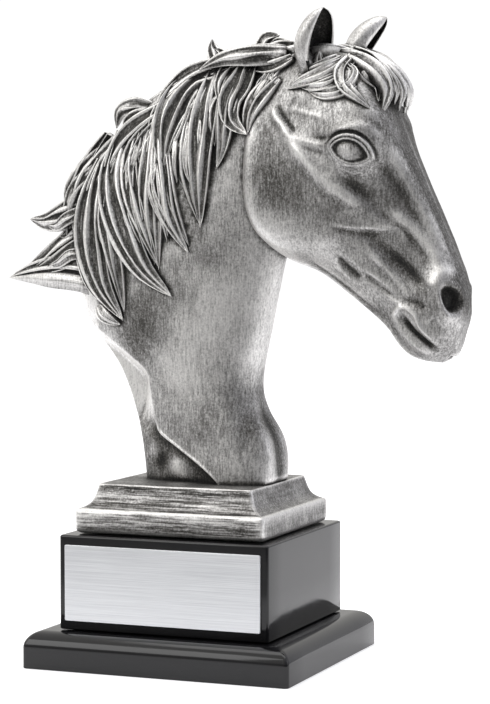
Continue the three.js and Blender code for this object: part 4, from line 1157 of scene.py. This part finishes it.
def addNode(tree, kind, settings=None, **inputs):
    node = tree.nodes.new(kind)
    for key, value in (settings or {}).items():
        setattr(node, key, value)
    feed(tree, node, {int(key[1:]) if key[1:].isdigit() else key: value for key, value in inputs.items()})
    return node


def calc(tree, operation, first, second=0.0, clamp=False):
    settings = {"operation": operation, "use_clamp": clamp}
    return addNode(tree, "ShaderNodeMath", settings, i0=first, i1=second).outputs[0]


def swing(tree, value, gain):
    # a mask about its middle, times a gain
    return calc(tree, "MULTIPLY", calc(tree, "SUBTRACT", value, 0.5), gain)


def remap(tree, value, low, high, toLow=0.0, toHigh=1.0):
    node = addNode(tree, "ShaderNodeMapRange", {"clamp": True, "interpolation_type": "SMOOTHSTEP"})
    feed(tree, node, {"Value": value, "From Min": low, "From Max": high, "To Min": toLow, "To Max": toHigh})
    return node.outputs["Result"]


def blend(tree, factor, first, second):
    node = addNode(tree, "ShaderNodeMix", {"data_type": "RGBA"}, Factor=factor, i6=first, i7=second)
    return node.outputs[2]


def dot(tree, place, direction):
    node = addNode(tree, "ShaderNodeVectorMath", {"operation": "DOT_PRODUCT"}, i0=place, i1=direction)
    return node.outputs["Value"]


def noise(tree, place, scale, detail, roughness=0.5):
    node = addNode(tree, "ShaderNodeTexNoise", i0=place, Scale=scale, Detail=detail, Roughness=roughness)
    return node.outputs["Fac"]


def objectPlace(tree):
    return addNode(tree, "ShaderNodeTexCoord").outputs["Object"]


def addBump(tree, shader, height, strength, distance):
    bump = addNode(tree, "ShaderNodeBump", Strength=strength, Distance=distance, Height=height)
    feed(tree, shader, {"Normal": bump.outputs[0]})


def attribute(tree, name):
    return addNode(tree, "ShaderNodeAttribute", {"attribute_name": name}).outputs["Fac"]


def newGroup(name, inputs, outputs):
    group = bpy.data.node_groups.new(name, "ShaderNodeTree")
    for label, kind, value in inputs:
        socket = group.interface.new_socket(name=label, in_out="INPUT", socket_type=kind)
        if value is not None:
            socket.default_value = value
    for label, kind in outputs:
        group.interface.new_socket(name=label, in_out="OUTPUT", socket_type=kind)
    return group, group.nodes.new("NodeGroupInput"), group.nodes.new("NodeGroupOutput")


# Fine strokes left by a brush or by brushing the metal: noise drawn out along one direction
def strokesGroup():
    group, given, result = newGroup(
        "fineStrokes",
        [("Stretch", "NodeSocketVector", (1.0, 1.0, 1.0)), ("Sharpness", "NodeSocketFloat", 0.5)],
        [("Strokes", "NodeSocketFloat"), ("Flecks", "NodeSocketFloat")])
    place = objectPlace(group)
    stretched = addNode(group, "ShaderNodeVectorMath", {"operation": "MULTIPLY"},
                        i0=place, i1=given.outputs["Stretch"]).outputs[0]
    both = calc(group, "ADD", calc(group, "MULTIPLY", noise(group, stretched, 1.0, 3.0, 0.6), 0.6),
                calc(group, "MULTIPLY", noise(group, stretched, 2.7, 2.0, 0.7), 0.4))
    gain = calc(group, "ADD", calc(group, "MULTIPLY", given.outputs["Sharpness"], 6.0), 1.0)
    shown = calc(group, "ADD", swing(group, both, gain), 0.5, clamp=True)
    feed(group, result, {"Strokes": shown, "Flecks": noise(group, place, 1500.0, 2.0, 0.7)})
    return group


fineStrokes = strokesGroup()


def addStrokes(tree, look):
    node = tree.nodes.new("ShaderNodeGroup")
    node.node_tree = fineStrokes
    feed(tree, node, {"Stretch": look[:3], "Sharpness": look[3]})
    return node.outputs["Strokes"], node.outputs["Flecks"]


# Antiqued silver: bright where it is rubbed, black where the patina stays
silver = {
    # patina and painted shade, from rubbed metal to the darkest hollow, and its colour
    "ramp": [(0.0, (0.90, 0.89, 0.87)), (0.22, (0.62, 0.61, 0.60)), (0.42, (0.29, 0.285, 0.28)),
             (0.6, (0.115, 0.111, 0.104)), (0.8, (0.032, 0.031, 0.029)), (1.0, (0.009, 0.009, 0.009))],
    "even": 0.46, "streakAcross": 2.2, "streakAlong": 190.0, "lockFall": (-0.5, 0.0, 0.8), "cloudScale": 85.0,
    # brush marks: how fine along x, y and z and how sharp, then how much each shows
    "upright": (1700.0, 1700.0, 260.0, 0.5), "level": (60.0, 60.0, 1300.0, 0.8), "shown": (-0.24, -0.42),
    "relief": (-3.0, -4.0), "bump": (0.3, 0.00012),
}


def hairStreaks(tree, place):
    # noise drawn out along each lock
    strandMark = attribute(tree, "strand")
    along = calc(tree, "MULTIPLY", dot(tree, place, silver["lockFall"]), silver["streakAlong"])
    across = calc(tree, "MULTIPLY", strandMark, silver["streakAcross"])
    lockPlace = addNode(tree, "ShaderNodeCombineXYZ", i0=across, i1=along).outputs[0]
    isHair = remap(tree, calc(tree, "ABSOLUTE", strandMark), 0.0, 0.05)
    return swing(tree, noise(tree, lockPlace, 1.0, 3.0, 0.6), isHair)


def silverMaterial():
    material, tree, shader = newMaterial("antique_silver")
    upright, flecks = addStrokes(tree, silver["upright"])
    levelled, _ = addStrokes(tree, silver["level"])
    place = objectPlace(tree)
    streaks = hairStreaks(tree, place)
    onHead, onPlinth = silver["shown"]
    brushed = addNode(tree, "ShaderNodeMix", {"data_type": "FLOAT"}, i0=attribute(tree, "level"),
                      i2=swing(tree, upright, onHead), i3=swing(tree, levelled, onPlinth)).outputs[0]
    arrisMark, patinaAndShadingMark, raisedMark, hollowMark, creviceMark = (
        attribute(tree, name) for name in ("arris", "patinaAndShading", "raised", "hollow", "crevice"))
    # patina in hollows, crevices and curves, the patina and painted shade and light set on the shells, rubbed
    # ridges, clouds and hair streaks
    forms = [
        remap(tree, hollowMark, 0.1, 0.8, 0, 0.4), remap(tree, creviceMark, 0.1, 0.8, 0, 0.25),
        calc(tree, "MULTIPLY", patinaAndShadingMark, 0.65), remap(tree, raisedMark, 0.0, -0.14, 0, 0.3),
        remap(tree, raisedMark, 0.0, 0.16, 0, -0.3),
        calc(tree, "MULTIPLY", calc(tree, "POWER", arrisMark, 1.4), -0.6),
        swing(tree, noise(tree, place, silver["cloudScale"], 4.0, 0.55), 0.5), streaks,
    ]
    amount = silver["even"]
    for part in forms:
        amount = calc(tree, "ADD", part, amount)
    # the patina never fills a hollow quite evenly
    amount = remap(tree, amount, -0.1, 1.25, 0.04, 0.9)
    grain = swing(tree, flecks, remap(tree, amount, 0.35, 0.75, -0.5, -0.85))
    amount = calc(tree, "ADD", grain, calc(tree, "ADD", brushed, amount))
    amount = calc(tree, "ADD", amount, 0.0, clamp=True)
    ramp = addNode(tree, "ShaderNodeValToRGB", i0=amount)
    stops = ramp.color_ramp.elements
    for k, (position, color) in enumerate(silver["ramp"]):
        stop = stops[0] if k == 0 else stops[-1] if k == len(silver["ramp"]) - 1 else stops.new(position)
        stop.position = position
        stop.color = (*color, 1)
    feed(tree, shader, {"Base Color": ramp.outputs["Color"],
                        "Metallic": remap(tree, amount, 0.5, 1.0, 1.0, 0.4),
                        "Roughness": remap(tree, amount, 0.0, 1.0, 0.4, 0.62)})
    # hair streaks and brush marks in relief
    ofHair, ofBrush = silver["relief"]
    relief = calc(tree, "ADD", calc(tree, "MULTIPLY", streaks, ofHair),
                  calc(tree, "MULTIPLY", brushed, ofBrush))
    addBump(tree, shader, relief, *silver["bump"])
    return material


# Piano lacquer: black, hard gloss, with faint wiping marks
lacquer = {
    "color": (0.006, 0.006, 0.007, 1), "dust": (0.05, 0.05, 0.052, 1), "wiping": (60.0, 60.0, 420.0, 0.4),
    "rough": 0.06, "smear": 0.10, "waveScale": 90.0, "bump": (0.05, 0.0004),
}


def lacquerMaterial():
    material, tree, shader = newMaterial("black_lacquer")
    strokes, flecks = addStrokes(tree, lacquer["wiping"])
    dust = remap(tree, flecks, 0.66, 0.8, 0, 0.5)
    smear = calc(tree, "MULTIPLY", strokes, lacquer["smear"])
    feed(tree, shader, {"Base Color": blend(tree, dust, lacquer["color"], lacquer["dust"]),
                        "Roughness": calc(tree, "ADD", smear, lacquer["rough"]), "IOR": 1.5})
    addBump(tree, shader, noise(tree, objectPlace(tree), lacquer["waveScale"], 1.0), *lacquer["bump"])
    return material


# Brushed aluminium: lines along the plate's length
brushedPlate = {
    "light": (0.95, 0.965, 0.985, 1), "dark": (0.76, 0.775, 0.80, 1), "lines": (25.0, 300.0, 5200.0, 0.7),
    "rough": 0.36, "roughLines": 0.16, "bump": (0.12, 0.00005),
}


def plateMaterial():
    material, tree, shader = newMaterial("brushed_aluminium")
    lines, _ = addStrokes(tree, brushedPlate["lines"])
    uneven = calc(tree, "MULTIPLY", lines, brushedPlate["roughLines"])
    feed(tree, shader, {"Base Color": blend(tree, lines, brushedPlate["dark"], brushedPlate["light"]),
                        "Roughness": calc(tree, "ADD", uneven, brushedPlate["rough"]),
                        "Metallic": 1.0, "Anisotropic": 0.6})
    addBump(tree, shader, lines, *brushedPlate["bump"])
    return material


casting.data.materials.append(silverMaterial())
blackGloss = lacquerMaterial()
blackFoot.data.materials.append(blackGloss)
blackBlock.data.materials.append(blackGloss)
blankPlate.data.materials.append(plateMaterial())

pieces = {
    casting: ("horse_casting", "antique_silver"), blackBlock: ("base_block", "black_gloss"),
    blackFoot: ("base_foot", "black_gloss"), blankPlate: ("plate", "brushed_plate"),
}
for piece, (node, slot) in pieces.items():
    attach(piece, "root")
    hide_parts(node)
print("materials made")


# Studio: a white table and background, soft boxes
studio = {
    "floorSize": 8.0, "floor": (0.84, 0.84, 0.86, 1), "floorGlow": 0.5, "ambient": 0.85,
    "beyond": (0.4, 0.4, 0.4, 1), "tableGlow": 0.28, "tableEnd": (-0.24, -0.06), "backdrop": 1.05,
    "warm": (1.0, 0.985, 0.955, 1), "cool": (0.93, 0.935, 1.0, 1), "dimSide": (0.62, -0.78, 0.1),
}


def buildFloor():
    bpy.ops.mesh.primitive_plane_add(size=studio["floorSize"], location=(0, 0, 0))
    floor = bpy.context.object
    floor.name = "studio_floor"
    material, tree, shader = newMaterial("white_table")
    # the table ends a little way in front, and the camera sees it white all over
    ahead = addNode(tree, "ShaderNodeSeparateXYZ", i0=objectPlace(tree)).outputs["Y"]
    table = remap(tree, ahead, *studio["tableEnd"])
    seen = addNode(tree, "ShaderNodeLightPath").outputs["Is Camera Ray"]
    lit = calc(tree, "MAXIMUM", table, seen)
    glow = calc(tree, "MAXIMUM", calc(tree, "MULTIPLY", table, studio["tableGlow"]),
                calc(tree, "MULTIPLY", seen, studio["floorGlow"]))
    feed(tree, shader, {"Base Color": blend(tree, lit, studio["beyond"], studio["floor"]), "Roughness": 0.8,
                        "Emission Color": (1, 1, 1, 1), "Emission Strength": glow})
    floor.data.materials.append(material)


def buildWorld():
    world = bpy.data.worlds.new("studio")
    bpy.context.scene.world = world
    world.use_nodes = True
    tree = world.node_tree
    direction = addNode(tree, "ShaderNodeTexCoord").outputs["Generated"]
    parts = addNode(tree, "ShaderNodeSeparateXYZ", i0=direction)
    x, y, z = (parts.outputs[name] for name in "XYZ")

    def dimmer(first, second, amount):
        both = calc(tree, "MULTIPLY", first, second)
        return calc(tree, "SUBTRACT", 1.0, calc(tree, "MULTIPLY", both, amount))

    # darker towards the front right, brighter to both sides and overhead
    front = remap(tree, dot(tree, direction, studio["dimSide"]), 0.45, 0.98, 1.0, 0.45)
    over = remap(tree, z, 0.0, 0.8, 0.82, 1.1)
    glow = calc(tree, "MULTIPLY", calc(tree, "MULTIPLY", front, over), studio["ambient"])
    # a dark band at eye level in front, and another on the right
    band = dimmer(remap(tree, y, -0.35, -0.75), remap(tree, z, 0.3, 0.12), 0.5)
    right = dimmer(remap(tree, x, 0.45, 0.9), remap(tree, z, 0.4, 0.1), 0.4)
    glow = calc(tree, "MULTIPLY", calc(tree, "MULTIPLY", glow, band), right)
    seen = addNode(tree, "ShaderNodeLightPath").outputs["Is Camera Ray"]
    strength = addNode(tree, "ShaderNodeMix", {"data_type": "FLOAT"}, i0=seen, i2=glow, i3=studio["backdrop"])
    tint = blend(tree, remap(tree, x, -0.2, 0.8), studio["warm"], studio["cool"])
    feed(tree, tree.nodes["Background"], {"Color": blend(tree, seen, tint, (1.0, 1.0, 1.0, 1)),
                                          "Strength": strength.outputs[0]})


softBoxes = {  # place, size, power, aimed at
    "key": ((-0.7, -0.95, 0.75), (0.8, 0.8), 4.5, (0, 0, 0.12)),
    "top": ((0.0, 0.1, 1.1), (1.0, 0.8), 4.0, (0, 0, 0.1)),
    "right": ((1.0, 0.1, 0.35), (0.35, 0.9), 0.8, (0, 0, 0.12)),
    "left": ((-1.0, 0.3, 0.4), (0.35, 0.9), 1.2, (0, 0, 0.12)),
}


def buildLights():
    for name, (place, (wide, tall), power, aim) in softBoxes.items():
        lamp = bpy.data.lights.new(name, "AREA")
        lamp.shape = "RECTANGLE"
        lamp.size, lamp.size_y = wide, tall
        lamp.energy = power
        thing = bpy.data.objects.new(name, lamp)
        thing.location = place
        thing.rotation_euler = (Vector(aim) - Vector(place)).to_track_quat("-Z", "Y").to_euler()
        bpy.context.scene.collection.objects.link(thing)


# The camera stands where the photograph was taken from
camera = {
    "azimuth": 21.75, "elevation": 3.16, "distance": 0.79, "target": (0.0153, 0.0, 0.1049), "lens": 119.2,
    "sensor": 36,
}


def buildCamera():
    azimuth, elevation = math.radians(camera["azimuth"]), math.radians(camera["elevation"])
    target = Vector(camera["target"])
    away = Vector((math.sin(azimuth) * math.cos(elevation), -math.cos(azimuth) * math.cos(elevation),
                   math.sin(elevation)))
    data = bpy.data.cameras.new("camera")
    data.lens = camera["lens"]
    data.sensor_width = camera["sensor"]
    thing = bpy.data.objects.new("camera", data)
    thing.location = target + away * camera["distance"]
    thing.rotation_euler = (-away).to_track_quat("-Z", "Y").to_euler()
    bpy.context.scene.collection.objects.link(thing)
    bpy.context.scene.camera = thing


buildFloor()
buildWorld()
buildLights()
buildCamera()
bpy.context.scene.view_settings.view_transform = "Standard"
print("studio made")
